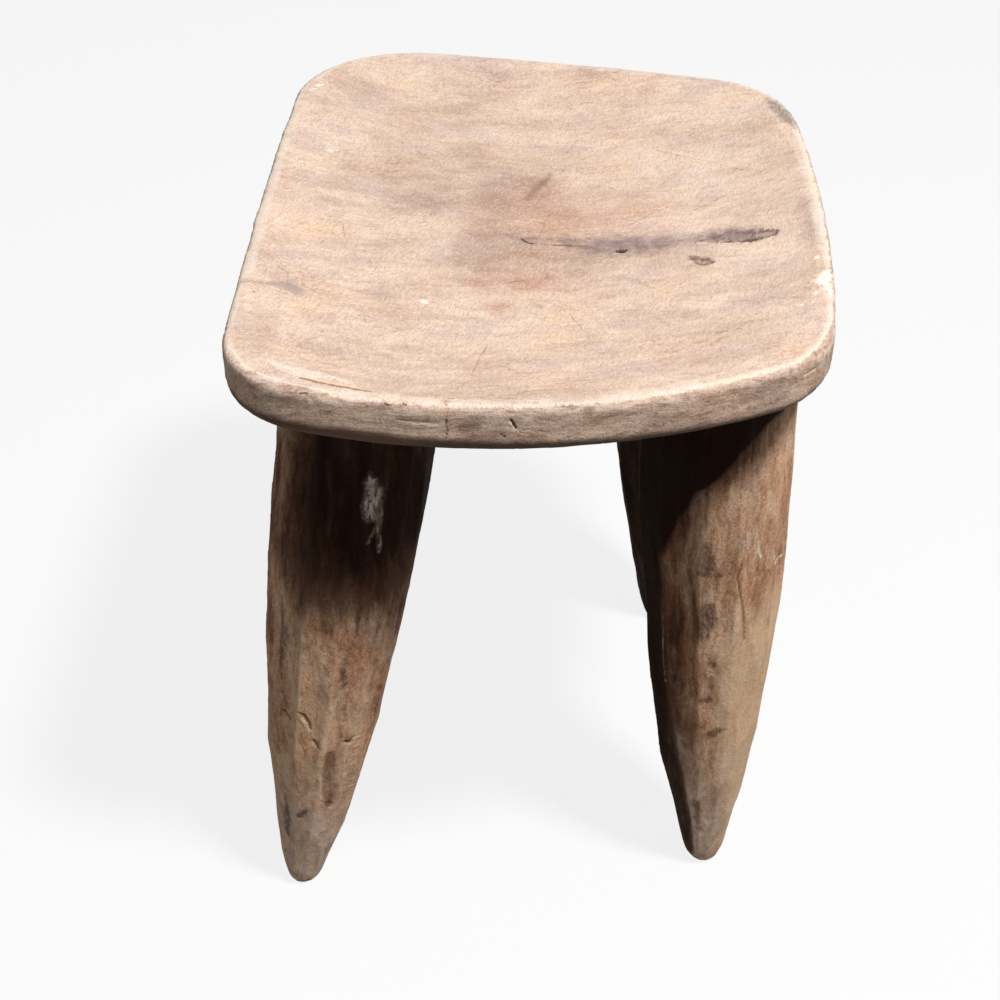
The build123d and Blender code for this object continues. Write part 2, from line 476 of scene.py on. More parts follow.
stain_outline = [
    (83.8, -27.0, 382.7, 0.1), (88, -26.9, 383.2, 0.3), (92.5, -28.3, 383.9, 0.3),
    (99.1, -30.2, 385, 0.7), (105.6, -32.2, 386.2, 0.6), (112.5, -34.0, 387.7, 1.0),
    (116.7, -33.6, 388.7, 0.3), (121.8, -34.2, 390.1, 0.3), (125, -32.5, 391, 0.3),
    (125.9, -29.4, 391.2, 0.3), (123.6, -27.2, 390.5, 0.3), (117.7, -26, 388.9, 0.2)]
stain_tail = [(116.5, -29.5, 388.6, 1.6), (121, -30.4, 389.9, 2.0), (124, -30.7, 390.7, 1.2)]
print("check, stain:", len(check_line) + len(check_hole), "and",
      sum(map(len, (stain_wash, stain_core, stain_outline, stain_tail))), "points")

# %% [markdown]
# ### The knot
# A knot is the root of a thin branch, cut across. It is harder and darker than the wood round
# it, so it has a broad mark for its dark body and a thin one for the paler eye.

# %% The knot
knot = [
    (81.6, -42.6, 382.4, 1.9), (84.6, -45.2, 382.8, 3.4), (87.2, -47.4, 383.2, 4.2),
    (88.6, -48, 383.5, 3.6)]
knot_eye = [(84, -46, 382.8, 0.7), (86.2, -47.6, 383.1, 1.2), (88.6, -48.6, 383.5, 0.6)]
print("knot:", len(knot) + len(knot_eye), "points")

# %% [markdown]
# ## The split at the left front corner
# Edges suffer most. Here a flake has split off along the grain. It left a thin dark split with
# fresh, paler wood above it and a lip of raised fibres, and the corner beside it is worn round.

# %% The left front corner
split = [
    (-111.2, -169, 394.5, 0.3), (-104.2, -170.8, 393.9, 0.5), (-97.2, -172.2, 393.4, 0.7),
    (-90.2, -173.8, 392.8, 0.6), (-85.6, -174.8, 392.5, 0.4), (-78, -176.6, 392, 0.2)]
bare_flake = [
    (-111, -167.4, 394.3, 0.4), (-104, -168.8, 393.5, 1.2), (-97, -170, 392.7, 1.6),
    (-90, -171.4, 392.2, 1.3), (-84, -173, 391.9, 0.6)]
pale_lip = [
    (-127, -157, 395.6, 1.0), (-119.5, -161.5, 395, 3.0), (-111.5, -163.5, 394, 3.6),
    (-103.7, -164, 392.8, 3.2), (-95.8, -165, 391.8, 2.2), (-88, -168.4, 391.4, 1.2)]
left_corner = [
    (-144.3, -152.3, 397.5, 1.0), (-139.3, -165.4, 395.2, 3.0), (-128.4, -171.6, 395.6, 4.0),
    (-115.7, -176.3, 394.4, 3.0), (-100, -180, 393, 1.0)]
print("left front corner:", sum(map(len, (split, bare_flake, pale_lip, left_corner))), "points")

# %% [markdown]
# ## Nicks in the rim's face
# The rim gets knocked when the stool is dragged and stacked. It has one gouge, one upright
# slit, pits in the hewn edge, nicks round the right corner, and smudges from hands. A noise
# could strew such marks about, but the eye looks at the rim first, so they are placed.

# %% The rim's face
gouge = [(-14.2, -187, 383.8, 0.35), (-12.6, -187, 380.9, 0.6), (-11.6, -187, 378.8, 0.35)]
slit = [
    (-43.0, -187, 386.5, 0.15), (-43.6, -187, 382, 0.3), (-43.0, -187, 378.6, 0.15),
    (-43.8, -187, 374, 0.2)]
rim_scratches = [
    [(-67, -186, 383.4, 0.3), (-58, -187, 382.2, 0.75), (-47, -187, 381.8, 0.4)],
    [(-63, -186, 380.9, 0.1), (-54, -187, 380.2, 0.3)],
    [(8, -187, 376.4, 0.2), (13, -187, 375.4, 0.45)],
    [(-36, -187, 379, 0.1), (-26, -187, 381, 0.25), (-15, -187, 383, 0.1)],
    [(26, -186, 383, 0.1), (33, -186, 379, 0.25), (31, -186, 374, 0.1)],
    [(-15.8, -187, 382.2, 0.2), (-14.6, -187, 380, 0.65), (-13.2, -187, 378.6, 0.3)]]
rim_pits = [
    [(-110.5, -178.8, 392.6, 0.1), (-107.4, -179.2, 393, 0.3)],
    [(-71.8, -184, 391.1, 0.1), (-69.8, -184.7, 390.3, 0.25)],
    [(-63.4, -184.2, 391.1, 0.1), (-61.8, -184.8, 390.2, 0.3)],
    [(-43.8, -183, 390.9, 0.2), (-43.4, -185, 390.2, 0.15)],
    [(-15.4, -185, 390.2, 0.1), (-14.4, -186, 389.2, 0.25)],
    [(-102, -181, 385.6, 0.1), (-97, -182, 384.8, 0.2)],
    [(-18.8, -187.4, 376.8, 0.1), (-16.6, -187.2, 374.8, 0.3)],
    [(51, -178, 388, 0.1), (53.2, -179, 386.6, 0.25)]]
corner_nicks = [
    [(122, -157.5, 391.5, 0.3), (128, -152.4, 391, 0.6)],
    [(124, -156.5, 387.8, 0.3), (130, -151.4, 387.4, 0.6)],
    [(123, -158, 384.4, 0.2), (129.5, -152.5, 384.2, 0.5)],
    [(127, -154.5, 381, 0.2), (131, -150.5, 380.6, 0.4)]]
rim_smudges = [
    [(-134, -170, 391.5, 1.5), (-120, -176, 388.5, 3.2), (-105, -180, 386.5, 3.2),
     (-92, -182, 386, 1.5)],
    [(-121, -176, 375.5, 1.8), (-100, -181, 372.5, 3.6), (-78, -185, 371.5, 3.6),
     (-60, -186, 371, 1.8)],
    [(-36, -187, 381, 3.0), (-29, -187, 381, 3.0)], [(-4, -187, 375, 2.4), (0, -187, 374.6, 2.4)]]
print("rim:", len(rim_scratches + rim_pits + corner_nicks + rim_smudges), "small marks")

# %% [markdown]
# ## Bruises and smudges on the top
# Knocks crush the fibres, and crushed dry fibres look white. Hands and damp leave grey or warm
# smudges. They are soft and wide, so few points and a large half width are enough.

# %% Bruises and smudges
right_bruise = [
    (147.6, -79, 396.4, 1.0), (143.8, -84, 397, 2.6), (141.4, -90.5, 397, 2.9),
    (142.4, -97, 397, 2.2), (145.4, -102.5, 396, 1.8)]
worn_corner = [
    (147.5, -112, 397.4, 1.0), (146, -124, 397.4, 3.0), (142, -136, 397, 4.5),
    (136, -146, 396.6, 4.0), (127, -154, 396, 1.0)]
lip_bruises = [
    [(-130, 124, 397, 0.6), (-126, 132, 397, 1.8), (-122, 138, 397, 1.8), (-116, 146, 396.8, 0.8)],
    [(-148.2, -56, 397, 0.5), (-148.8, -72, 397, 1.0), (-149, -82, 397, 0.5)]]
corner_grime = [
    (137, 110.5, 396.6, 1.6), (141, 102, 397, 4.4), (144.6, 91, 397.3, 4.6),
    (147, 80, 397.5, 2.4), (148, 73, 397.5, 0.8)]
left_streak = [
    (-151, -90.5, 397.5, 0.9), (-145.1, -89.2, 397.3, 1.0), (-138.1, -87.2, 395.8, 1.3),
    (-133.5, -85.3, 394.2, 1.8), (-128.8, -84.2, 392.6, 3.4), (-123.8, -84.6, 391.2, 4.6),
    (-119.5, -86.4, 390, 3.8)]
left_pinhole = [(-139.9, -97.3, 396.5, 0.7)]
warm_smudge = [
    (-4.6, 24.3, 378.5, 0.8), (-1.5, 31, 378.5, 2.0), (2.2, 38.7, 378.5, 2.8),
    (6, 46, 378.6, 2.4), (9.4, 54, 378.6, 0.8)]
print("bruises and smudges:", len([right_bruise, worn_corner, *lip_bruises, corner_grime,
                                   left_streak, left_pinhole, warm_smudge]))

# %% [markdown]
# ### Flecks and scratches
# Where a fibre has lifted, a pale fleck is left. Nails, buckles and sand leave thin scratches,
# most of them across the grain. All scratches are 0.3 mm wide, so only their way is listed.

# %% Flecks and scratches
loose_flecks = [
    [(-60, -81, 380.7, 0.6), (-57, -81.6, 380.4, 2.0), (-55.4, -82, 380.3, 0.8)],
    [(-108.6, -179.6, 391.8, 0.6), (-106.4, -180.4, 390.4, 1.5), (-105.6, -180.6, 389.4, 0.6)],
    [(-115, 62.2, 389.6, 0.8), (-110, 63.4, 388.7, 1.2), (-107, 62.6, 388.2, 0.6)],
    [(108, 70, 386.6, 0.2), (114, 74, 387.4, 0.6), (121, 71, 388.4, 0.3)],
    [(110, 77, 387, 0.2), (118, 79, 388, 0.5)],
    [(133.8, -102.3, 396.1, 0.3), (136.5, -98, 396.5, 1.3), (137, -94, 396.6, 0.5)],
    [(127, -106.5, 394.6, 0.3), (130.5, -109.5, 395.4, 0.8), (134, -106.5, 396, 0.5)],
    [(141.2, -67, 396.9, 0.4), (140.4, -62, 396.9, 0.7)],
    [(-140, 78, 395, 0.2), (-134, 82, 393, 0.5)]]
scratch_routes = [
    [(83.8, 4.9, 382.5), (95.1, 11.7, 384.2), (107.3, 20.9, 386.5)],
    [(-33.1, -155.2, 384.7), (-29.5, -137.4, 382.3), (-25.3, -121.3, 380.7)],
    [(1.1, -58.0, 378.5), (4.4, -48.2, 378.5), (6.7, -36.3, 378.5)],
    [(18.9, 78.5, 379.1), (22.6, 85.2, 379.4), (25.7, 92.9, 379.9)],
    [(-88.9, -89.4, 383.9), (-86.9, -97.6, 383.8), (-84.9, -106.7, 383.9)],
    [(-102.4, -14.3, 386.2), (-101.3, -23.2, 385.9), (-99.1, -32.7, 385.4)],
    [(113.5, -92.9, 389.6), (121.1, -97.4, 391.9), (128.5, -99.3, 394.2)],
    [(-53.2, -65.3, 380.0), (-39.4, -65.2, 379.3), (-24.1, -63.4, 378.8), (-8.7, -59.1, 378.5),
     (5.8, -54.2, 378.5)],
    [(79.9, -117.3, 385.0), (92.7, -118.9, 387.2), (98.6, -117.7, 388.2)],
    [(15.2, -88.3, 379.0), (18, -97, 379.4), (22.0, -106.9, 379.9)],
    [(115.4, -92.7, 390.1), (121.3, -96.4, 391.9), (127.3, -97.6, 393.8)],
    [(69.7, 76.5, 382.1), (88.6, 63.5, 383.9), (102.2, 53.8, 385.9), (115.8, 40.8, 388.5)],
    [(-56.9, 5.5, 380.3), (-45.4, 23.2, 379.6), (-35.6, 32.9, 379.2)],
    [(2.4, -13.6, 378.4), (5.4, 1.2, 378.5), (9.4, 12.0, 378.5)],
    [(49.8, -5.1, 379.6), (65.2, 8.2, 380.6), (72.5, 12.5, 381.3)],
    [(52.7, -63.4, 380.0), (64.2, -73.8, 381.1), (72.7, -81.0, 382.1)]]
SCRATCH_HALF_WIDTH = 0.15
scratches = [[point + (SCRATCH_HALF_WIDTH,) for point in route] for route in scratch_routes]
print("flecks and scratches:", len(loose_flecks), "and", len(scratches))

# %% [markdown]
# ## Clouds of use
# Where people sit, sweat and skin oil have darkened the wood in soft clouds, some grey and some
# warm. They have no edge, so a line wouldn't do: each is a round cloud with a middle, two radii
# and a strength.

# %% Where the clouds are
dusky_spots = [
    (-13, 39, 23, 27, 0.9), (-39, 125, 15, 11, 0.5), (-34, 76, 16, 14, 0.5),
    (-22, -18, 20, 12, 0.8), (-23, -41, 32, 9, 0.8), (-76, -81, 11, 5, 0.5),
    (-111, 7, 10, 4, 0.5), (-103, 47, 6, 6, 0.45), (-102, 132, 25, 13, 0.45),
    (-19, 163, 10, 6, 0.5), (36, 159, 8, 5, 0.5), (92, 128, 13, 10, 0.6), (74, 96, 7, 7, 0.5),
    (56, 127, 5, 4, 0.45), (141, -11, 3, 4, 0.8), (142, -41, 4, 25, 0.5),
    (-132, -137, 11, 15, 0.5), (76, -147, 12, 6, 0.5), (5, -148, 10, 6, 0.35),
    (25, -41, 16, 6, 0.5), (132, 55, 10, 13, 0.35), (-57, 22, 22, 18, 0.4),
    (-2, 10, 40, 38, 0.35), (-18, -52, 42, 26, 0.4), (38, -44, 40, 20, 0.4),
    (-68, 44, 36, 40, 0.25), (80, -34, 24, 12, 0.4), (21, -44, 5, 5, 0.6), (5, -55, 5, 5, 0.5),
    (-82, 26, 40, 48, 0.3)]
warm_spots = [
    (8, 20, 16, 26, 0.6), (14, 3, 20, 14, 0.6), (-20, -85, 9, 7, 0.9), (-9, -63, 23, 6, 0.7),
    (57, 11, 27, 22, 0.4), (4, -46, 5, 8, 0.8), (-27, -63, 7, 5, 0.6), (0, 20, 38, 46, 0.35),
    (-6, -60, 32, 20, 0.45)]


def soft_spots(points, spots):
    """Sum of soft round clouds, each given by its middle, its two radii and its strength."""
    total = np.zeros(len(points))
    for x, y, radius_x, radius_y, strength in spots:
        away_x, away_y = (points[:, 0] - x) / radius_x, (points[:, 1] - y) / radius_y
        total += strength * np.exp(-away_x ** 2 - away_y ** 2)
    return total


print("clouds:", len(dusky_spots), "grey and", len(warm_spots), "warm")

# %% [markdown]
# ## A finer mesh under the marks
# A mark can only be as sharp as the mesh below it. The faces under a wide mark are subdivided
# once, and those under a fine mark twice.

# %% Finer mesh under the marks
wide_marks = [stain_wash, left_streak, corner_grime, right_bruise, bare_flake, pale_lip,
              warm_smudge, *lip_bruises]
fine_marks = [check_line, stain_outline, knot, check_hole, left_pinhole, split, gouge, slit,
              *rim_scratches, *rim_pits, *corner_nicks, *loose_flecks, *scratches]
refine(seat, nearest(points_of(seat), wide_marks) < 2.5, cuts=1)
refine(seat, nearest(points_of(seat), fine_marks) < 2.2, cuts=2)
print("seat mesh for the marks:", len(seat.data.vertices), "vertices")

# %% [markdown]
# ## Note how far each vertex is from the marks
# This comes before anything is cut, so that colour and cut lie exactly on each other. Marks
# of one look share a name, because the finish then needs only one coat for them. A texture
# painted on a UV map would do too, but its sharpness would be limited by its pixels.

# %% Note the distances
marks_on_seat = {
    "stain": [stain_wash], "core": [stain_core], "outline": [stain_outline], "tail": [stain_tail],
    "knot": [knot], "eye": [knot_eye], "crack": [check_line, slit, *rim_pits],
    "pit": [check_hole, left_pinhole, gouge], "split": [split], "scratch": scratches,
    "bare": [bare_flake, *rim_scratches, *corner_nicks], "pale": [pale_lip],
    "chip": [right_bruise, *loose_flecks, *lip_bruises], "streak": [left_streak],
    "grime": [corner_grime], "smudge": [warm_smudge, *rim_smudges],
}
points, up = points_of(seat), normals_of(seat)[:, 2]
for name, lines in marks_on_seat.items():
    store(seat, name, nearest(points, lines))
store(seat, "dusk", soft_spots(points, dusky_spots) * soft_step(up, 0.5, 0.8))
store(seat, "warm", soft_spots(points, warm_spots) * soft_step(up, 0.5, 0.8))
print("kinds of mark on the seat:", len(marks_on_seat) + 2)

# %% [markdown]
# ## Where the top ends and the rim begins
# The finish has to know where the scraped top ends and the rim's rougher wood begins. On a worn
# corner the edge is rounded away, and the rim's wood runs up over it. Two corners of the real
# seat are worn so, and there the border lies further in, by 9 mm and by 4 mm.

# %% Note the border
worn_mm, left_worn_mm, border_reach = 9, 4, 40
at_corner = soft_step(-away_from(points, worn_corner), -3, 4) * soft_step(up, 0.2, 0.6)
at_left = soft_step(-away_from(points, left_corner), -4, 3)
border = over_the_rim(points) + worn_mm * at_corner + left_worn_mm * at_left
store(seat, "over", np.clip(border, -border_reach, border_reach))
store(seat, "up", up)
print("points on the seat's top:", (border < 0).sum())

# %% [markdown]
# ## Cut the marks
# Each mark gets the depth of the real one: about a millimetre and a half for a hole, a quarter of
# a millimetre for a stain, whose wood has only shrunk. A depth below 0 lifts the surface, as on
# the lip where fibres stand up.

# %% Cut the marks into the seat
large_marks = [
    # mark, depth, width of its slope
    (check_line, 0.9, 0.7), (stain_outline, 0.25, 1.0), (stain_core, 0.25, 2.0),
    (knot, 0.5, 1.6), (check_hole, 1.6, 0.9), (left_pinhole, 1.2, 0.8),
    (left_streak, 0.3, 2.0), (split, 0.8, 0.8), (bare_flake, 0.5, 1.2),
    (pale_lip, -0.35, 3.0), (gouge, 1.4, 0.7), (slit, 0.8, 0.5),
    (right_bruise, 0.9, 2.2), (worn_corner, 1.2, 7.0), (corner_grime, 0.5, 3.0)]
small_nicks = rim_scratches + rim_pits + corner_nicks + lip_bruises
carve(seat, large_marks)
carve(seat, [(line, 0.4, 0.7) for line in small_nicks])
carve(seat, [(line, 0.15, 0.5) for line in scratches])
print("cut:", len(large_marks + small_nicks + scratches), "marks")

# %% [markdown]
# ## Let the rim's lower edge hang
# The real rim grows deeper towards both ends, most at the right. A cut can't do that, so the lower
# part of the rim's face is moved down, and the movement fades out up the face.

# %% Hang of the rim
hang_middle, hang_more_right, hang_more_left = 1.2, 2.2, 1.0
points = points_of(seat)
x = points[:, 0]
hang = hang_middle + hang_more_right * soft_step(x, 30, 120)
hang += hang_more_left * soft_step(x, -60, -120)
points[:, 2] -= hang * soft_step(over_the_rim(points), 9, 19)
move_points(seat, points)
print("rim hangs by", hang.min().round(1), "to", hang.max().round(1), "mm")

# %% [markdown]
# ## What stands proud is rubbed, what lies low keeps dirt
# Cloth and hands polish ridges and never reach hollows. The mesh knows which is which: a point
# that lies outside its neighbours' average is a ridge. Averaging a few rounds finds small ridges,
# and many rounds find broad ones.

# %% Wear of the seat
def wear_of(piece, rounds, reach_mm):
    """How much each vertex stands proud of its neighbours: ridges near 1, hollows near 0."""
    points, normals = points_of(piece), normals_of(piece)
    edges = np.empty(len(piece.data.edges) * 2, np.int32)
    piece.data.edges.foreach_get("vertices", edges)
    a, b = edges.reshape(-1, 2).T
    count = np.bincount(a, minlength=len(points)) + np.bincount(b, minlength=len(points))
    smooth = points
    for _ in range(rounds):
        total = np.zeros_like(smooth)
        np.add.at(total, a, smooth[b])
        np.add.at(total, b, smooth[a])
        smooth = (smooth + total / count[:, None]) / 2
    proud = ((points - smooth) * normals).sum(1)
    return np.clip(0.5 + proud / (2 * reach_mm), 0, 1)


store(seat, "wear", wear_of(seat, rounds=4, reach_mm=0.2))
store(seat, "hollow", wear_of(seat, rounds=30, reach_mm=1.2))
print("seat:", len(seat.data.vertices), "vertices")

# %% [markdown]
# ## The legs
# Each leg was hewn from the top down in long strokes, so its scoops, 13 mm wide, are drawn out
# along it. The foot is worn flat by the ground, so it keeps a quarter of their depth. A seam would
# open where a hewn leg meets a hewn seat, but the two are the same wood. So the leg's top goes on
# 5 mm into the seat board.

# %% Raise a leg's top into the seat
SUNK_MM = 5


def raise_top(leg):
    """Move the faces that look up, close under the seat, into the seat board."""
    only(leg)
    bpy.ops.object.mode_set(mode="EDIT")
    bpy.ops.mesh.select_all(action="DESELECT")
    bpy.ops.object.mode_set(mode="OBJECT")
    for face in leg.data.polygons:
        face.select = face.normal.z > 0.8 and face.center.z > 0.3
    bpy.ops.object.mode_set(mode="EDIT")
    bpy.ops.transform.translate(value=(0, 0, SUNK_MM * MM))
    bpy.ops.object.mode_set(mode="OBJECT")


print("leg tops go", SUNK_MM, "mm into the seat")

# %% [markdown]
# ## Hew the legs
# The scoops are laid along each leg's own axis, from its foot to its root, and every leg takes
# another part of the pattern, because no two were hewn alike.

# %% Hew a leg
ROOT_MM = 60
FOOT_KEEPS, FOOT_FROM, FOOT_TO = 0.25, 2, 22


def hew_leg(node_name, piece_name, pattern_shift):
    """A leg with long scoops. The shift in metres gives each leg its own part of the pattern."""
    leg = block_from(node_name, piece_name)
    points = points_of(leg)
    top_middle = points[points[:, 2] > points[:, 2].max() - ROOT_MM].mean(0)
    foot_middle = points[points[:, 2] < 1].mean(0)
    raise_top(leg)
    even_mesh(leg, voxel_mm=1.4)
    before = points_of(leg)
    guide = guide_frame(foot_middle * MM + Vector((pattern_shift, 0, 0)),
                        top_middle - foot_middle, stretch=4.5)
    hew(leg, guide, "CLOUDS", size_mm=26, depth_mm=1.6)
    hew(leg, guide, "VORONOI", size_mm=13, depth_mm=2.4, middle=0.2)
    hew(leg, guide, "CLOUDS", size_mm=4, depth_mm=0.5)
    keep = FOOT_KEEPS + (1 - FOOT_KEEPS) * soft_step(before[:, 2], FOOT_FROM, FOOT_TO)
    points = before + (points_of(leg) - before) * keep[:, None]
    points[:, 2] = np.maximum(points[:, 2], 0)
    move_points(leg, points)
    return leg


legs = {}
for node_name, piece_name, pattern_shift in [
    ("leg_front_left", "front_left_leg", 0.0), ("leg_front_right", "front_right_leg", 0.31),
    ("leg_rear_right", "rear_right_leg", 0.57), ("leg_rear_left", "rear_left_leg", 0.83),
]:
    legs[node_name] = hew_leg(node_name, piece_name, pattern_shift)
    print(piece_name, len(legs[node_name].data.vertices), "vertices")
left, right = legs["leg_front_left"], legs["leg_front_right"]

# %% [markdown]
# ## Marks on the left front leg
# High up a flake has come off and left a pale scar with a tail. Below the middle two curved tool
# cuts have raised lips, and under them the adze left a scoop with a ladder of small rungs.

# %% The flake's scar
left_flake = [
    (-84, -148.8, 322, 1.2), (-83, -148.6, 316, 3.4), (-82.2, -148.4, 308, 5.8),
    (-83, -148.4, 302, 5.2), (-84.5, -148.8, 296, 3.6), (-80, -147.6, 291, 1.0),
    (-80.6, -147.8, 284, 0.4)]
left_flake_tail = [
    (-79.4, -147.4, 303, 1.2), (-80, -147.6, 293, 1.5), (-81.2, -148, 284, 0.6),
    (-80.6, -147.8, 277, 1.1), (-81, -148, 271, 0.5)]
left_flake_branch = [(-81.5, -148, 288, 0.3), (-84.5, -149.2, 282, 0.5), (-86.5, -150, 278, 0.2)]
print("scar:", len(left_flake + left_flake_tail + left_flake_branch), "points")

# %% [markdown]
# ### Tool cuts, ridges and rungs of the left leg
# A tool that is driven in and lifted leaves a curved cut with a raised lip. The rungs are
# where the adze skipped, at even steps, so one line of code sets all seven.

# %% Tool cuts, ridges and rungs
left_cuts = [
    [(-141.5, -142.3, 153, 0.4), (-137.8, -145.7, 152.6, 0.8), (-135.3, -148.2, 150, 0.4)],
    [(-130, -152.4, 159.5, 0.5), (-126.9, -153, 157, 1.0), (-124.7, -153.4, 152, 0.9),
     (-124, -153.5, 147, 0.4)]]
left_cut_lips = [
    [(-137.6, -146.2, 149, 0.5), (-134.6, -148.6, 147.5, 0.6)],
    [(-128.6, -152.7, 154, 0.9), (-126.6, -153, 150, 1.1), (-125.4, -153.2, 144, 0.7)]]
left_notch = [(-106, -150.4, 133.4, 0.6), (-103.4, -149.3, 132, 1.6), (-100.4, -148, 135.5, 0.6)]
left_dents = [
    [(-122.6, -153.7, 138, 1.3), (-120.4, -154.1, 133.6, 0.8)],
    [(-135.6, -149.2, 70, 2.2), (-132.8, -150, 75.5, 1.2)], [(-118, -148.6, 79, 2.6)]]
left_scoop = [
    (-114.8, -152.5, 124, 3.6), (-116, -151.6, 108, 4.2), (-117.6, -150.4, 94, 4.2),
    (-118.4, -149, 83, 3.2)]
left_ridges = [
    [(-121.4, -153.6, 116, 0.4), (-121.6, -152.6, 100, 0.8), (-122.3, -151, 86, 0.5)],
    [(-105.8, -150.2, 129, 0.5), (-108.4, -148.6, 106, 0.9), (-112, -146.4, 84, 0.5),
     (-114.5, -145.6, 76, 0.3)]]
left_rungs = [
    [(-103.4 - step * 0.9, -146 + step * 1.2, 117.5 - step * 9.5, 0.3),
     (-98 - step * 0.9, -140 + step * 1.6, 116 - step * 9.5, 0.55)]
    for step in (-1.6, -0.8, 0, 0.8, 1.6, 2.4, 3.2)]
print("left leg:", len(left_cuts + left_cut_lips + left_dents + left_ridges + left_rungs),
      "small marks")

# %% [markdown]
# ### Dark runs of the left leg
# Sap and soot have stayed in long hollows between the hewn flats. They are colour alone, so
# they are never cut.

# %% Dark runs
left_streaks = [
    [(-134.4, -139.6, 232, 0.5), (-136.5, -141, 205, 1.7), (-137.8, -142, 186, 1.2),
     (-138.8, -143, 166, 0.6)],
    [(-81.4, -145.8, 229, 0.4), (-84, -147, 218, 1.2), (-86.6, -148.4, 208, 0.6)],
    [(-104, -153, 204, 1.0), (-103, -153, 192, 2.4), (-104.5, -153, 180, 1.2)],
    [(-143.6, -143.6, 82, 0.6), (-144, -143.4, 66, 2.2), (-145, -142.4, 46, 1.0)]]
left_tip = [(-143.6, -141.4, 12, 1.2), (-140, -141.6, 4, 1.6), (-136, -141, 1.5, 1.2)]
print("left leg:", len(left_streaks), "dark runs")

# %% [markdown]
# ## Marks on the right front leg
# Dark blots follow each other down its front, where sap or soot has stayed in the adze's dips.
# Between its hewn flats run ridges that are rubbed pale, and a drying crack has opened beside them.

# %% Blots, skins, ridges and cracks
right_blots = [
    [(87.3, -146.1, 275, 0.6), (88.3, -146.2, 267, 2.0), (89.3, -146.2, 260, 3.6)],
    [(84.4, -146.3, 255.6, 1.6), (95.4, -146.2, 254.6, 1.6)],
    [(91, -146, 231, 3.4), (91.1, -145.9, 221, 5.6), (89.4, -145.7, 211, 4.0)],
    [(93.6, -145.3, 196, 0.7), (96.9, -145, 187.5, 1.7)],
    [(96.5, -144.6, 178, 0.5), (96, -144.2, 170, 1.2)],
    [(93, -143.6, 159.6, 2.2), (98, -143.7, 161, 2.0)],
    [(101.5, -141.8, 132, 2.8), (106.5, -142, 136, 1.8)]]
right_skins = [
    [(86, -139.5, 147, 5.0), (87, -137.6, 132, 6.2), (87.6, -136, 119, 5.0)],
    [(77.5, -133, 146, 2.6), (79, -127, 108, 2.0)], [(96.2, -137, 66, 2.6), (99.6, -134, 36, 2.6)]
]
right_ridges = [
    [(92, -142, 150, 0.4), (93.8, -140.2, 117, 0.7), (94.6, -138.6, 96, 0.3)],
    [(92.7, -133.3, 75.2, 0.4), (96.7, -130.3, 45.4, 0.9), (102.1, -125.6, 8.5, 0.6)],
    [(67.2, -133.7, 254, 0.1), (70.7, -131.9, 194, 0.5), (73, -131, 165, 0.1)],
    [(107.1, -144.1, 330, 0.2), (109, -144, 290, 0.6), (110, -143.8, 262, 0.2)]]
right_cracks = [
    [(107.7, -144.2, 266, 0.2), (105.2, -145.8, 252, 1.0), (106.4, -145.4, 244, 0.7),
     (109, -143.8, 232, 0.8), (110.8, -142.9, 219, 1.2), (111.9, -142.2, 205, 1.3)]]
right_chips = [
    [(115, -139.5, 272, 0.4), (115.6, -139.2, 266, 1.0), (117.4, -138.2, 260, 0.7)],
    [(124, -132.9, 261, 0.4), (125, -131.4, 254, 1.0), (126.8, -129.1, 247.6, 0.9)],
    [(126.8, -129.1, 249, 0.5), (131, -122.4, 248, 0.7)], [(94.6, -143.6, 157.5, 0.4)],
    [(73.4, -131.8, 163, 0.5)]]
print("right leg:", len(right_blots + right_skins + right_ridges + right_cracks + right_chips),
      "marks")

# %% [markdown]
# ## Soot and painted shade under the seat
# The legs are nearly black at the top: partly smoke that gathered under the seat, where nothing
# rubs, and partly painted shade, the seat's shadow and the shade of the legs' inner sides. A plain
# fade by height would look sprayed on. Each leg has its own: the left one stays lighter along its
# outer edge, and on the right one the dark follows the crooked border of the seat's painted shadow
# down the inner side, with painted light on the lit front beside it.

# %% How dark each leg is
def soot_and_shading_front_left(x, z):
    """Soot and painted shade from 280 mm up, lighter along the outer edge and from about 200 mm
    down.
    """
    outer_edge = soft_step(-122 - (340 - z) * 0.13 - x, -16, 5)
    dark = (soft_step(z, 206, 280) + 0.3 * soft_step(z, 150, 230)) / 1.3
    return dark * (1 - 0.6 * outer_edge) - 0.2 * soft_step(z, 205, 165)


def soot_and_shading_front_right(x, z):
    """Soot and the seat's painted shadow left of a crooked border, painted shade beside it, a dim
    cloud or two, and painted light on the lit front.
    """
    # the border of the seat's painted shadow, between the dark inner side and the lit front: its X
    # at these heights
    border_z = [14, 32, 50, 70, 102, 147, 210, 254, 290, 308, 317, 336, 346, 356]
    border_x = [101, 98.5, 96.5, 92.5, 86, 78, 71.5, 67, 76, 82, 93, 104, 114, 131]
    border = np.interp(z, border_z, border_x)
    shade = 0.62 * soft_step(border + 34 - x, 0, 48) * soft_step(z, -60, 120)
    dark = np.maximum(1.2 * soft_step(border - x, -2.5, 5), shade)
    # painted shade: two clouds and a band close under the seat
    dark += 0.3 * np.exp(-((x - 103) / 13) ** 2 - ((z - 262) / 34) ** 2)
    dark += 0.1 * np.exp(-((x - 87) / 12) ** 2 - ((z - 236) / 34) ** 2)
    dark += 0.12 * soft_step(z, 215, 250) * soft_step(x - border, 16, 40)
    # painted light on the lit front, away from the border, and lighter towards the foot
    dark -= 0.3 * soft_step(x - border, 12, 48) + 0.3 * soft_step(z, 150, 60)
    return dark - 0.3 * soft_step(x - border, 6, 34) * soft_step(z, 240, 170)


def soot_and_shading_rear_right(x, z):
    """Soot and painted shade on its inner side, and from 280 mm up."""
    return np.maximum(0.95 * soft_step(98 - x, -8, 12), soft_step(z, 150, 280))


def soot_and_shading_rear_left(x, z):
    """Soot and painted shade from 260 mm up."""
    return soft_step(z, 120, 260)


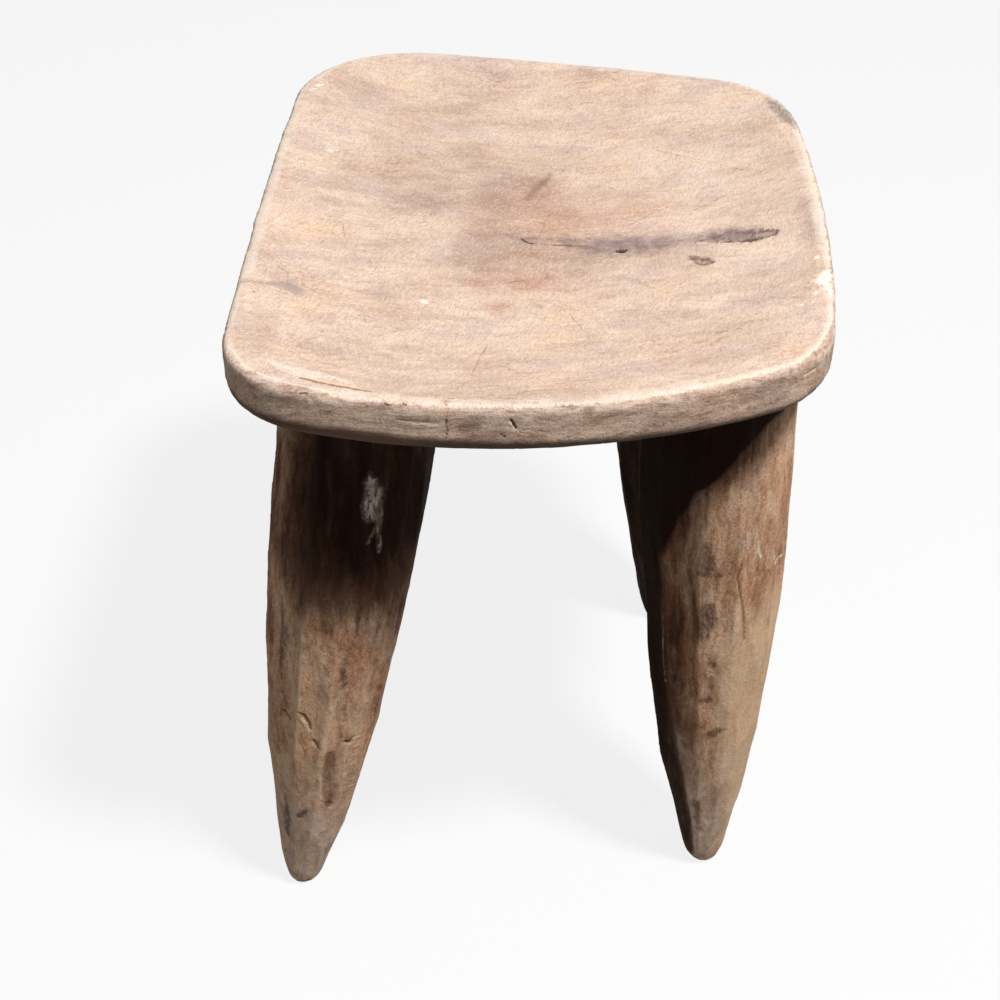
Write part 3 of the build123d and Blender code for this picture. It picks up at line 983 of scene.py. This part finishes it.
soot_and_shading = {"leg_front_left": soot_and_shading_front_left, "leg_front_right": soot_and_shading_front_right,
        "leg_rear_right": soot_and_shading_rear_right, "leg_rear_left": soot_and_shading_rear_left}
print("legs with their own dark skin:", len(soot_and_shading))

# %% [markdown]
# ## Lay the marks into the legs
# As on the seat: a finer mesh under the small marks, and then the distances. The rear legs have
# no marks of their own. They get the same attributes, so that one finish serves all four.

# %% Finer mesh and distances
refine(left, nearest(points_of(left), [
    left_flake, left_flake_tail, left_flake_branch, left_notch, left_scoop, *left_cuts,
    *left_cut_lips, *left_ridges, *left_rungs, *left_dents]) < 2, cuts=1)
refine(right, nearest(points_of(right), right_ridges + right_cracks + right_chips) < 2, cuts=1)
marks_on_legs = {
    "leg_front_left": {
        "blot": [*left_streaks, *left_dents, left_tip], "cut": [*left_cuts, left_notch],
        "skin": [left_scoop], "chip": [left_flake],
        "ridge": [*left_ridges, *left_cut_lips, *left_rungs, left_flake_tail, left_flake_branch]},
    "leg_front_right": {
        "blot": right_blots, "cut": right_cracks, "skin": right_skins, "ridge": right_ridges,
        "pale": right_chips},
}
no_mark = [[(0, 0, 900, 0)]]
for name, leg in legs.items():
    points = points_of(leg)
    for mark in ("blot", "cut", "skin", "ridge", "chip", "pale"):
        lines = marks_on_legs.get(name, {}).get(mark, no_mark)
        store(leg, mark, nearest(points, lines))
    # soot and painted shade above 0, painted light below 0
    store(leg, "soot_and_shading", soot_and_shading[name](points[:, 0], points[:, 2]))
print("marked:", ", ".join(marks_on_legs))

# %% [markdown]
# ### Cut them, and find the wear
# Cuts and cracks go in, and lips, ridges and rungs stand out. The wear is measured last, on
# the final shape, because that is what hands and feet have rubbed.

# %% Cut the marks into the legs
def all_with(lines, depth_mm, slope_mm):
    """The same depth and slope for several lines."""
    return [(line, depth_mm, slope_mm) for line in lines]


carve(left, [
    (left_flake, 1.0, 1.4), (left_flake_tail, 0.6, 1.2), (left_flake_branch, 0.4, 1.0),
    (left_notch, 1.4, 1.2), (left_scoop, 0.9, 4.2), *all_with(left_cuts, 0.6, 1.4),
    *all_with(left_cut_lips, -0.4, 1.6), *all_with(left_ridges + left_rungs, -0.5, 1.2),
    *all_with(left_dents, 0.8, 1.6)])
carve(right, [
    *all_with(right_ridges, -0.5, 1.4), *all_with(right_cracks, 0.5, 1.6),
    *all_with(right_chips, 0.5, 1.0), *all_with(right_skins, 0.7, 3.0)])
for leg in legs.values():
    store(leg, "wear", wear_of(leg, rounds=8, reach_mm=0.45))
    print(leg.name, len(leg.data.vertices), "vertices")

# %% [markdown]
# ## How a wood finish is built
# Real wood has no single colour: it is a stack of thin stains, each with its own pattern. A
# photograph of wood could be wrapped round the stool, but it would repeat, and it can't know
# where this stool is worn. So a finish is built from noises, and the size of each is that of the
# real thing in millimetres.

# %% Start a material, and make a pattern of a real size
def start_finish(name):
    """A new material with an empty node tree, and that tree."""
    material = bpy.data.materials.new(name)
    material.use_nodes = True
    material.node_tree.nodes.clear()
    return material, material.node_tree


def mottle(tree, place, size_mm, detail, roughness, turn=0, distortion=0.0):
    """A noise whose features have this real size along each axis, turned about the vertical."""
    laid = node(tree, "ShaderNodeMapping", {
        "Vector": place, "Rotation": (0, 0, math.radians(turn)),
        "Scale": [size * MM for size in size_mm]}, vector_type="TEXTURE")
    return node(tree, "ShaderNodeTexNoise", {
        "Vector": laid.outputs[0], "Scale": 1.0, "Detail": detail, "Roughness": roughness,
        "Distortion": distortion}).outputs["Fac"]


def bent_place(tree, place, wave_mm, bend_mm):
    """Places pushed about by slow waves, so that no grain runs dead straight."""
    sway = node(tree, "ShaderNodeTexNoise", {
        "Vector": place, "Scale": 1 / (wave_mm * MM), "Detail": 2.0})
    return node(tree, "ShaderNodeVectorMath", {
        0: sway.outputs["Color"], 1: [bend_mm * MM] * 3, 2: place},
        operation="MULTIPLY_ADD").outputs[0]


def off_middle(tree, noise):
    """How far a noise is from its middle: close to 0 along thin wandering lines."""
    gap = node(tree, "ShaderNodeMath", {0: noise, 1: 0.5}, operation="SUBTRACT")
    return node(tree, "ShaderNodeMath", {0: gap.outputs[0]}, operation="ABSOLUTE").outputs[0]


print("a pattern of 1 mm is a noise of scale", round(1 / MM))

# %% [markdown]
# ### Coats of colour
# A finish starts from one colour, and coats are laid over it, each where a mask says. A mask
# is a noise, or a stored distance to a mark with a noise added, so that the mark's edge is
# ragged, as in fibres.

# %% Lay coats
def coat(tree, below, code, mask, low, high, most=1.0, within=None):
    """Lay a colour over what is below it, where a mask goes from low to high.

    It may be held back by a second mask, given as (mask, low, high, least, most)."""
    share = node(tree, "ShaderNodeMapRange", {
        "Value": mask, "From Min": low, "From Max": high, "To Max": most},
        interpolation_type="SMOOTHSTEP").outputs[0]
    if isinstance(within, tuple):
        names = ("Value", "From Min", "From Max", "To Min", "To Max")
        within = node(tree, "ShaderNodeMapRange", dict(zip(names, within))).outputs[0]
    if within is not None:
        share = node(tree, "ShaderNodeMath", {0: share, 1: within},
                     operation="MULTIPLY").outputs[0]
    return node(tree, "ShaderNodeMix", {0: share, 6: below, 7: srgb(code)},
                data_type="RGBA").outputs[2]


def lay_coats(tree, colour, rows):
    """One coat for each row: colour code, mask, low, high and the most of it that shows."""
    for row in rows:
        colour = coat(tree, colour, *row)
    return colour


def lay_marks(tree, colour, rows):
    """One coat for each row: colour code, mark, the noise that frays it and by how many mm,
    low and high distance, and the most that shows, as a number or as a second mask."""
    for code, mark, fray, rough_mm, low, high, most in rows:
        away = node(tree, "ShaderNodeAttribute", attribute_name=mark).outputs["Fac"]
        moved = node(tree, "ShaderNodeMath", {0: fray, 1: -4 * rough_mm, 2: away},
                     operation="MULTIPLY_ADD").outputs[0]
        edge = node(tree, "ShaderNodeMath", {0: moved, 1: 2 * rough_mm},
                    operation="ADD").outputs[0]
        patchy = most if isinstance(most, tuple) else None
        colour = coat(tree, colour, code, edge, low, high, 1.0 if patchy else most, patchy)
    return colour


def weighted_sum(tree, total, *others):
    """One pattern with others added to it, each given with its weight."""
    for pattern, weight in others:
        total = node(tree, "ShaderNodeMath", {0: pattern, 1: weight, 2: total},
                     operation="MULTIPLY_ADD").outputs[0]
    return total


print("a finish is built from coats")

# %% [markdown]
# ## The seat's finish: bare hardwood, scraped, sun-bleached and worn
# Dry tropical hardwood, scraped and never varnished. The eye reads it by its grain: long pale and
# dark bands along X, fibres across which the scraper has chattered, grey and reddish clouds from
# use, and dirt that stays in hollows while ridges are rubbed pale. The patterns are made first,
# each at the size of the real thing. The picture shows about two pixels to a millimetre, so what
# is finer than a millimetre is drawn as coarse as it needs to show.

# %% Patterns of the seat's wood
# bare tropical hardwood, scraped by hand and dried by the sun: dull, warm and finely chattered
seat_wood, tree = start_finish("scraped_bare_hardwood")
place = node(tree, "ShaderNodeTexCoord").outputs["Object"]
# the grain swings by up to a centimetre over a hand's width
bent = bent_place(tree, place, wave_mm=70, bend_mm=24)
# clouds of use as wide as a palm, blotches as wide as a thumb, and slow changes of tint
clouds = mottle(tree, bent, (75, 45, 45), 6, 0.62)
bloom = mottle(tree, bent, (24, 17, 17), 7, 0.7)
tint = mottle(tree, bent, (46, 24, 24), 7, 0.72)
# growth rings, cut at a slant: broad bands, and lines every 3 mm or so
streaks = mottle(tree, bent, (80, 13, 13), 5, 0.6)
grain = mottle(tree, bent, (34, 3.0, 3.0), 4, 0.65)
# fibres are 0.2 mm wide and drawn as 1.6 mm; the scraper's chatter is 0.5 mm and drawn as 1.1 mm
fibres = mottle(tree, bent, (9, 1.6, 1.6), 3, 0.65)
felt = mottle(tree, bent, (4.4, 1.1, 1.1), 3, 0.65, turn=66, distortion=0.3)
# short bruises, and dust in the pores, which is 0.2 mm wide and drawn as 1 mm
flecks = mottle(tree, bent, (1.3, 4.2, 2.6), 3, 0.7, turn=20, distortion=0.5)
grit = mottle(tree, place, (1.0, 1.4, 1.0), 3, 0.7)
# what frays the edges of stains, along bundles of fibres
ragged = mottle(tree, place, (7, 5, 5), 5, 0.7)
over, up, dusk, warm, wear, hollow = [
    node(tree, "ShaderNodeAttribute", attribute_name=name).outputs["Fac"]
    for name in ("over", "up", "dusk", "warm", "wear", "hollow")]
print("patterns of the seat's wood:", len(tree.nodes), "nodes")

# %% [markdown]
# ### The scraped top
# Warm cream wood, clouded by use. A coat that starts at the middle of a noise and ends high darkens
# its hills, and one that runs down from the middle lightens its valleys.

# %% The scraped top
top = lay_coats(tree, srgb("F5DBC6"), [
    # colour, pattern, starts at, is full at, most of it that shows
    ("E8C9B2", clouds, 0.38, 0.62, 1.0),
    ("DAC2B9", tint, 0.5, 0.62, 0.6),
    ("FFDAB6", tint, 0.47, 0.33, 0.6),
    ("CFAE9D", bloom, 0.48, 0.68, 0.5),
    ("FCE8D4", bloom, 0.46, 0.32, 0.5),
    ("C2A18D", streaks, 0.5, 0.68, 0.36),
    ("BE9A84", grain, 0.5, 0.68, 0.3),
    ("A07D6F", dusk, 0.0, 0.9, 0.62, (bloom, 0.34, 0.6, 0.5, 1.0)),
    ("C08A6E", warm, 0.0, 0.9, 0.56, (bloom, 0.34, 0.6, 0.5, 1.0)),
    ("AD8874", felt, 0.5, 0.68, 0.36),
    ("FFF6EC", felt, 0.46, 0.3, 0.34),
    ("A98571", fibres, 0.54, 0.72, 0.22),
    ("B08C78", grit, 0.48, 0.66, 0.34),
    ("FFF4E8", grit, 0.46, 0.32, 0.35),
])
print("the scraped top:", len(tree.nodes), "nodes so far")

# %% [markdown]
# ### Hair cracks and scratches on the top
# Hair cracks are a tenth of a millimetre wide and wander along the grain. A noise crosses its own
# middle along just such lines. Two sets, turned against each other, make the web. It is drawn up
# to half a millimetre wide so that it shows, and only in some places.

# %% Hair cracks and scratches
in_places = (clouds, 0.48, 0.62, 0.0, 0.34)
long_checks = off_middle(tree, mottle(tree, bent, (70, 17, 17), 3, 0.5, turn=8))
cross_checks = off_middle(tree, mottle(tree, bent, (46, 12, 12), 3, 0.5, turn=-32))
top = coat(tree, top, "7D5C4A", long_checks, 0.010, 0.002, within=in_places)
top = coat(tree, top, "7D5C4A", cross_checks, 0.008, 0.002, within=in_places)
top = lay_marks(tree, top, [
    ("86644F", "scratch", grit, 0.25, 0.6, 0.0, (ragged, 0.38, 0.58, 0.0, 0.5))])
print("with cracks and scratches:", len(tree.nodes), "nodes so far")

# %% [markdown]
# ### The rim's face and the underside
# Here the adze's work was left as it was. End grain and torn fibres hold dirt, so the face is
# darker and more mottled than the top. It is darker on faces that look down, and darkest along its
# lower edge, by grime and painted shade.

# %% The rim's face and the underside
face = lay_coats(tree, srgb("F8D7BE"), [
    ("DDB79F", streaks, 0.4, 0.62, 1.0),
    ("94776A", bloom, 0.47, 0.64, 0.62),
    ("F6DEC8", bloom, 0.42, 0.3, 0.6),
    ("AE9690", tint, 0.5, 0.64, 0.4),
    ("E4B893", tint, 0.45, 0.33, 0.4),
    ("7A5848", grain, 0.52, 0.66, 0.45),
    ("FBE6D0", grain, 0.46, 0.32, 0.4),
    ("84614F", fibres, 0.52, 0.68, 0.4),
    ("FBE8D6", fibres, 0.46, 0.32, 0.3),
    ("5E4437", flecks, 0.62, 0.72, 0.45),
    ("FBEADA", flecks, 0.36, 0.26, 0.35),
    ("7C5F50", grit, 0.5, 0.64, 0.46),
    ("FFF2E6", grit, 0.42, 0.3, 0.42),
    # darker on faces that look down
    ("6A5040", up, -0.3, -0.8, 0.7),
])
# grime and painted shade start about 17 mm down the rim's face, and 3 mm higher up towards the left
# end, which is in shade
across = node(tree, "ShaderNodeSeparateXYZ", {0: place}).outputs["X"]
deeper = node(tree, "ShaderNodeMapRange", {
    "Value": across, "From Min": 0.04, "From Max": -0.07, "To Max": 3.0}).outputs[0]
low_edge_grime_and_shade = node(tree, "ShaderNodeMath", {0: ragged, 1: 3.0, 2: over},
                operation="MULTIPLY_ADD").outputs[0]
low_edge_grime_and_shade = node(tree, "ShaderNodeMath", {0: low_edge_grime_and_shade, 1: deeper}, operation="ADD").outputs[0]
face = coat(tree, face, "4A372D", low_edge_grime_and_shade, 18.4, 22.4, 0.85)
print("with the rim's face:", len(tree.nodes), "nodes so far")

# %% [markdown]
# ### From the top over the edge to the face
# The border between the two isn't a line: fibres carry one colour into the other for a few
# millimetres. So the distance over the rim is frayed by two noises before it is used.

# %% The edge between top and face
frayed = over
for pattern in (felt, ragged):
    frayed = node(tree, "ShaderNodeMath", {0: pattern, 1: 5.0, 2: frayed},
                  operation="MULTIPLY_ADD").outputs[0]
frayed = node(tree, "ShaderNodeMath", {0: frayed, 1: 5.0}, operation="SUBTRACT").outputs[0]
below_edge = node(tree, "ShaderNodeMapRange", {
    "Value": frayed, "From Min": -2.2, "From Max": -0.2},
    interpolation_type="SMOOTHSTEP").outputs[0]
colour = node(tree, "ShaderNodeMix", {0: below_edge, 6: top, 7: face},
              data_type="RGBA").outputs[2]
print("with the edge:", len(tree.nodes), "nodes so far")

# %% [markdown]
# ### The band rubbed pale
# The edge is where legs and cloth rub, and there the wood is rubbed nearly white. The band is
# two or three millimetres wide, broken up by the same fibres, with pale specks above it.

# %% The band rubbed pale
from_edge = node(tree, "ShaderNodeMath", {0: frayed, 1: 2.3}, operation="ADD").outputs[0]
from_edge = node(tree, "ShaderNodeMath", {0: from_edge}, operation="ABSOLUTE").outputs[0]
band = node(tree, "ShaderNodeMapRange", {
    "Value": bloom, "From Min": 0.66, "From Max": 0.42, "To Min": 0.3}).outputs[0]
threads = node(tree, "ShaderNodeMapRange", {
    "Value": felt, "From Min": 0.62, "From Max": 0.42, "To Min": 0.25}).outputs[0]
band = node(tree, "ShaderNodeMath", {0: band, 1: threads}, operation="MULTIPLY").outputs[0]
colour = coat(tree, colour, "FBEBDC", from_edge, 1.8, 0.6, 0.95, within=band)
speckled = node(tree, "ShaderNodeMapRange", {
    "Value": grit, "From Min": 0.56, "From Max": 0.42, "To Min": 0.05, "To Max": 0.75})
speckled = node(tree, "ShaderNodeMath", {0: speckled.outputs[0], 1: below_edge},
                operation="SUBTRACT", use_clamp=True).outputs[0]
colour = coat(tree, colour, "F7E4D0", over, -7.0, -2.0, 0.8, within=speckled)
print("with the pale band:", len(tree.nodes), "nodes so far")

# %% [markdown]
# ### Rubbed ridges and dirty hollows
# Here the wear that was measured on the mesh turns into colour: pale on what stands proud,
# brown in what lies low. The rim's lower edge is out of reach and isn't rubbed.

# %% Rubbed ridges and dirty hollows
colour = lay_coats(tree, colour, [
    ("FAEADA", wear, 0.62, 0.95, 0.5, (over, 17.0, 12.0, 0.0, 1.0)),
    ("74563F", wear, 0.4, 0.08, 0.55),
    ("92745F", hollow, 0.42, 0.2, 0.3),
])
print("with wear:", len(tree.nodes), "nodes so far")

# %% [markdown]
# ### The marks of the seat
# The stored distances turn into colour: stains first, then the knot, then what is deep and dark,
# and last what is fresh and pale, because that came last on the real one too.

# %% Colours of the seat's marks
colour = lay_marks(tree, colour, [
    # colour, mark, frayed by, by mm, starts at mm, is full at mm, most or second mask
    ("867170", "stain", ragged, 3.4, 4.5, -7.0, (ragged, 0.34, 0.6, 0.45, 0.85)),
    ("7E6663", "core", ragged, 3.4, 2.6, -2.0, (felt, 0.62, 0.4, 0.45, 0.9)),
    ("AC9690", "core", felt, 2.4, -2.0, -4.6, 0.5),
    ("C2AC9E", "tail", felt, 1.2, 0.8, -0.8, 0.75),
    ("57423F", "outline", felt, 1.6, 1.4, -0.3, (ragged, 0.38, 0.56, 0.1, 0.8)),
    ("A0928B", "streak", ragged, 1.8, 2.0, -2.5, 0.6),
    ("8E857B", "grime", ragged, 2.0, 2.0, -2.5, (felt, 0.34, 0.54, 0.3, 0.8)),
    ("806254", "smudge", ragged, 2.4, 2.0, -3.0, 0.6),
    ("6F4E45", "knot", ragged, 2.4, 1.2, -1.2, (felt, 0.66, 0.42, 0.5, 0.9)),
    ("A98A7E", "knot", felt, 3.0, -1.6, -3.4, 0.6),
    ("CDB0A0", "eye", felt, 1.6, 1.0, -1.0, 0.8),
    ("3B241C", "pit", grit, 0.4, 0.4, -0.3, 1.0),
    ("4A3026", "crack", grit, 0.3, 0.5, 0.0, 0.8),
    ("FFF0DF", "pale", ragged, 2.2, 1.6, -2.0, (grit, 0.62, 0.4, 0.3, 0.9)),
    ("F1D6B8", "bare", grit, 0.6, 0.6, -0.6, 0.75),
    ("9A6B50", "split", grit, 0.4, 0.7, 0.0, 0.8),
    ("FFF7EC", "chip", ragged, 2.6, 0.6, -0.8, (grit, 0.62, 0.46, 0.35, 0.95)),
])
print("with its marks:", len(tree.nodes), "nodes so far")

# %% [markdown]
# ### How the seat's wood takes the light
# Bare wood is rough and dull: a roughness of 0.8 and the index of wood fibre, 1.5. Loose dusty
# fibres send back far less shine than a solid face, so the specular level is low. What is finer
# than the mesh, the chatter, pores and grain, is a bump a third of a millimetre high.

# %% The seat's surface
relief = weighted_sum(tree, grit, (felt, 1.0), (flecks, 0.5), (grain, 1.6))
bump = node(tree, "ShaderNodeBump", {"Height": relief, "Strength": 0.7, "Distance": 0.35 * MM})
surface = node(tree, "ShaderNodeBsdfPrincipled", {
    "Base Color": colour, "Roughness": 0.8, "IOR": 1.5, "Specular IOR Level": 0.1,
    "Normal": bump.outputs[0]})
node(tree, "ShaderNodeOutputMaterial", {"Surface": surface.outputs[0]})
print("seat finish:", len(tree.nodes), "nodes")

# %% [markdown]
# ## The legs' finish: the same wood, hewn and darkened
# The same hardwood, cut along the grain by the adze and never scraped. Smoke, soil and hands have
# darkened it to brown, most of all close under the seat, where painted shade adds to it. The eye
# reads it by long dark and pale runs down the leg, rubbed ridges and a skin that has worn through
# near the foot. All its patterns stand upright, because the fibres run down the leg.

# %% Patterns of the legs' wood
# the same hardwood, hewn with an adze and darkened by smoke and painted shade: brown, streaked
# and without shine
leg_wood, tree = start_finish("hewn_dark_hardwood")
place = node(tree, "ShaderNodeTexCoord").outputs["Object"]
bent = bent_place(tree, place, wave_mm=50, bend_mm=14)
# worn areas a few fingers wide, patches as wide as one cut of the adze, and changes of tint
clouds = mottle(tree, bent, (34, 34, 70), 6, 0.64)
patches = mottle(tree, bent, (15, 15, 30), 6, 0.68)
tint = mottle(tree, bent, (24, 24, 40), 5, 0.66)
# growth rings seen from the side: bands 8 mm wide and long runs
streaks = mottle(tree, bent, (8, 8, 80), 5, 0.62)
# fibres are 0.2 mm wide and drawn as 2 mm, and pores and dust of 0.2 mm as 1.3 mm
fibres = mottle(tree, bent, (2.2, 2.2, 16), 3, 0.65)
felt = mottle(tree, place, (2.0, 2.0, 4.5), 3, 0.7, distortion=0.4)
grit = mottle(tree, place, (1.3, 1.3, 1.5), 3, 0.7)
ragged = mottle(tree, place, (5, 5, 8), 5, 0.7)
wear, soot_and_shading_mask = [node(tree, "ShaderNodeAttribute", attribute_name=name).outputs["Fac"]
                   for name in ("wear", "soot_and_shading")]
height = node(tree, "ShaderNodeSeparateXYZ", {0: place}).outputs["Z"]
print("patterns of the legs' wood:", len(tree.nodes), "nodes")

# %% [markdown]
# ### The legs' wood, down to the foot
# Red-brown wood with dark and pale runs. Below 150 mm soil has greyed and mottled it, and the
# last few millimetres are dirty from the ground. Height alone would draw a level line round the
# leg, so a noise holds these coats back in places.

# %% The legs' wood, down to the foot
colour = lay_coats(tree, srgb("FFCFA6"), [
    ("D69F78", clouds, 0.4, 0.62, 1.0),
    ("DEC6B0", tint, 0.5, 0.66, 0.5),
    ("E4935E", tint, 0.46, 0.32, 0.4),
    ("8E583E", patches, 0.5, 0.66, 0.55),
    ("FCDEC2", patches, 0.46, 0.32, 0.6),
    ("78462E", streaks, 0.52, 0.68, 0.55),
    ("FBD5B4", streaks, 0.46, 0.3, 0.6),
    ("764634", fibres, 0.5, 0.66, 0.3),
    ("FBDEC4", fibres, 0.46, 0.32, 0.3),
    ("704432", felt, 0.5, 0.66, 0.3),
    ("FFE4CC", felt, 0.44, 0.3, 0.35),
    ("6C4434", grit, 0.46, 0.64, 0.32),
    ("FFE8D4", grit, 0.42, 0.3, 0.4),
    # greyed and mottled by soil below 150 mm, and dirty where it stands
    ("DCCCC0", height, 0.13, 0.02, 0.6, (patches, 0.36, 0.6, 0.3, 1.0)),
    ("77625A", ragged, 0.44, 0.66, 1.0, (height, 0.15, 0.06, 0.0, 0.5)),
    ("EFE3D9", patches, 0.5, 0.38, 1.0, (height, 0.15, 0.06, 0.0, 0.5)),
    ("4A382F", height, 0.004, 0.0015, 0.6),
    ("FFE8CC", wear, 0.62, 0.95, 0.4),
    ("54362A", wear, 0.4, 0.08, 0.6),
])
print("the legs' wood:", len(tree.nodes), "nodes so far")

# %% [markdown]
# ### Soot, painted shade and painted light
# The soot and painted shade of each vertex is broken up by patches and long runs before it is used,
# so that the dark ends in tongues, as worn skin does. Where it runs out, on the lit front, the wood
# is painted paler, as painted light, and it is paler towards the foot too.

# %% The dark skin
ragged_soot_and_shading = weighted_sum(tree, soot_and_shading_mask, (patches, 0.35), (streaks, 0.7))
colour = lay_coats(tree, colour, [
    # painted light on the lit front, and paler towards the foot
    ("FFDAB2", ragged_soot_and_shading, 0.46, 0.02, 0.68),
    # soot and painted shade, darkest close under the seat
    ("3E1C10", ragged_soot_and_shading, 0.55, 1.15, 0.86),
    ("0E0402", ragged_soot_and_shading, 1.1, 1.6, 0.9),
])
print("with the dark skin:", len(tree.nodes), "nodes so far")

# %% [markdown]
# ### The marks of the legs
# They are laid in the order in which they came: the old skin, ridges rubbed pale, blots and
# cuts, and last the chips, whose wood is fresh.

# %% Colours of the legs' marks
colour = lay_marks(tree, colour, [
    # colour, mark, frayed by, by mm, starts at mm, is full at mm, most or second mask
    ("7A5642", "skin", ragged, 2.6, 1.8, -2.0, (patches, 0.34, 0.56, 0.1, 0.6)),
    ("F6DCC0", "ridge", grit, 0.4, 1.2, -0.3, (ragged, 0.6, 0.42, 0.05, 0.6)),
    ("55423B", "blot", ragged, 2.4, 2.2, -1.6, (felt, 0.3, 0.56, 0.36, 0.76)),
    ("50321F", "cut", grit, 0.4, 0.7, -0.4, 0.55),
    ("F8E2C8", "pale", ragged, 0.8, 0.7, -0.5, 0.8),
    ("7C695C", "chip", ragged, 2.2, 1.4, -0.8, 0.75),
    ("F2E8E0", "chip", ragged, 2.4, 0.0, -2.2, (felt, 0.6, 0.4, 0.05, 0.9)),
])
print("with their marks:", len(tree.nodes), "nodes so far")

# %% [markdown]
# ### How the legs' wood takes the light
# As on the seat, but hewn fibres stand up more, so the bump is half a millimetre high, and soot
# gives back even less shine.

# %% The legs' surface
relief = weighted_sum(tree, grit, (felt, 1.2), (fibres, 0.9), (ragged, 1.5))
bump = node(tree, "ShaderNodeBump", {"Height": relief, "Strength": 0.7, "Distance": 0.5 * MM})
surface = node(tree, "ShaderNodeBsdfPrincipled", {
    "Base Color": colour, "Roughness": 0.8, "IOR": 1.5, "Specular IOR Level": 0.05,
    "Normal": bump.outputs[0]})
node(tree, "ShaderNodeOutputMaterial", {"Surface": surface.outputs[0]})
print("leg finish:", len(tree.nodes), "nodes")

# %% [markdown]
# ## Dress the pieces
# Smooth shading lets the light roll over the scoops. Each piece then rides on the stool's one
# rigid body and stands for its solid, which stays behind it for collision.

# %% Dress the pieces
def finish_piece(piece, node_name, material):
    """Smooth and dress a piece, let it ride on the stool's body and hide the solid that it
    replaces.
    """
    only(piece)
    bpy.ops.object.shade_smooth()
    piece.data.materials.append(material)
    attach(piece, "root")
    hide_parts(node_name)
    triangles = sum(len(face.vertices) - 2 for face in piece.data.polygons)
    print(f"{piece.name}: {triangles} triangles")


finish_piece(seat, "seat", seat_wood)
for name, leg in legs.items():
    finish_piece(leg, name, leg_wood)
for guide in [obj for obj in bpy.data.objects if obj.name.startswith("cut_direction")]:
    bpy.data.objects.remove(guide)
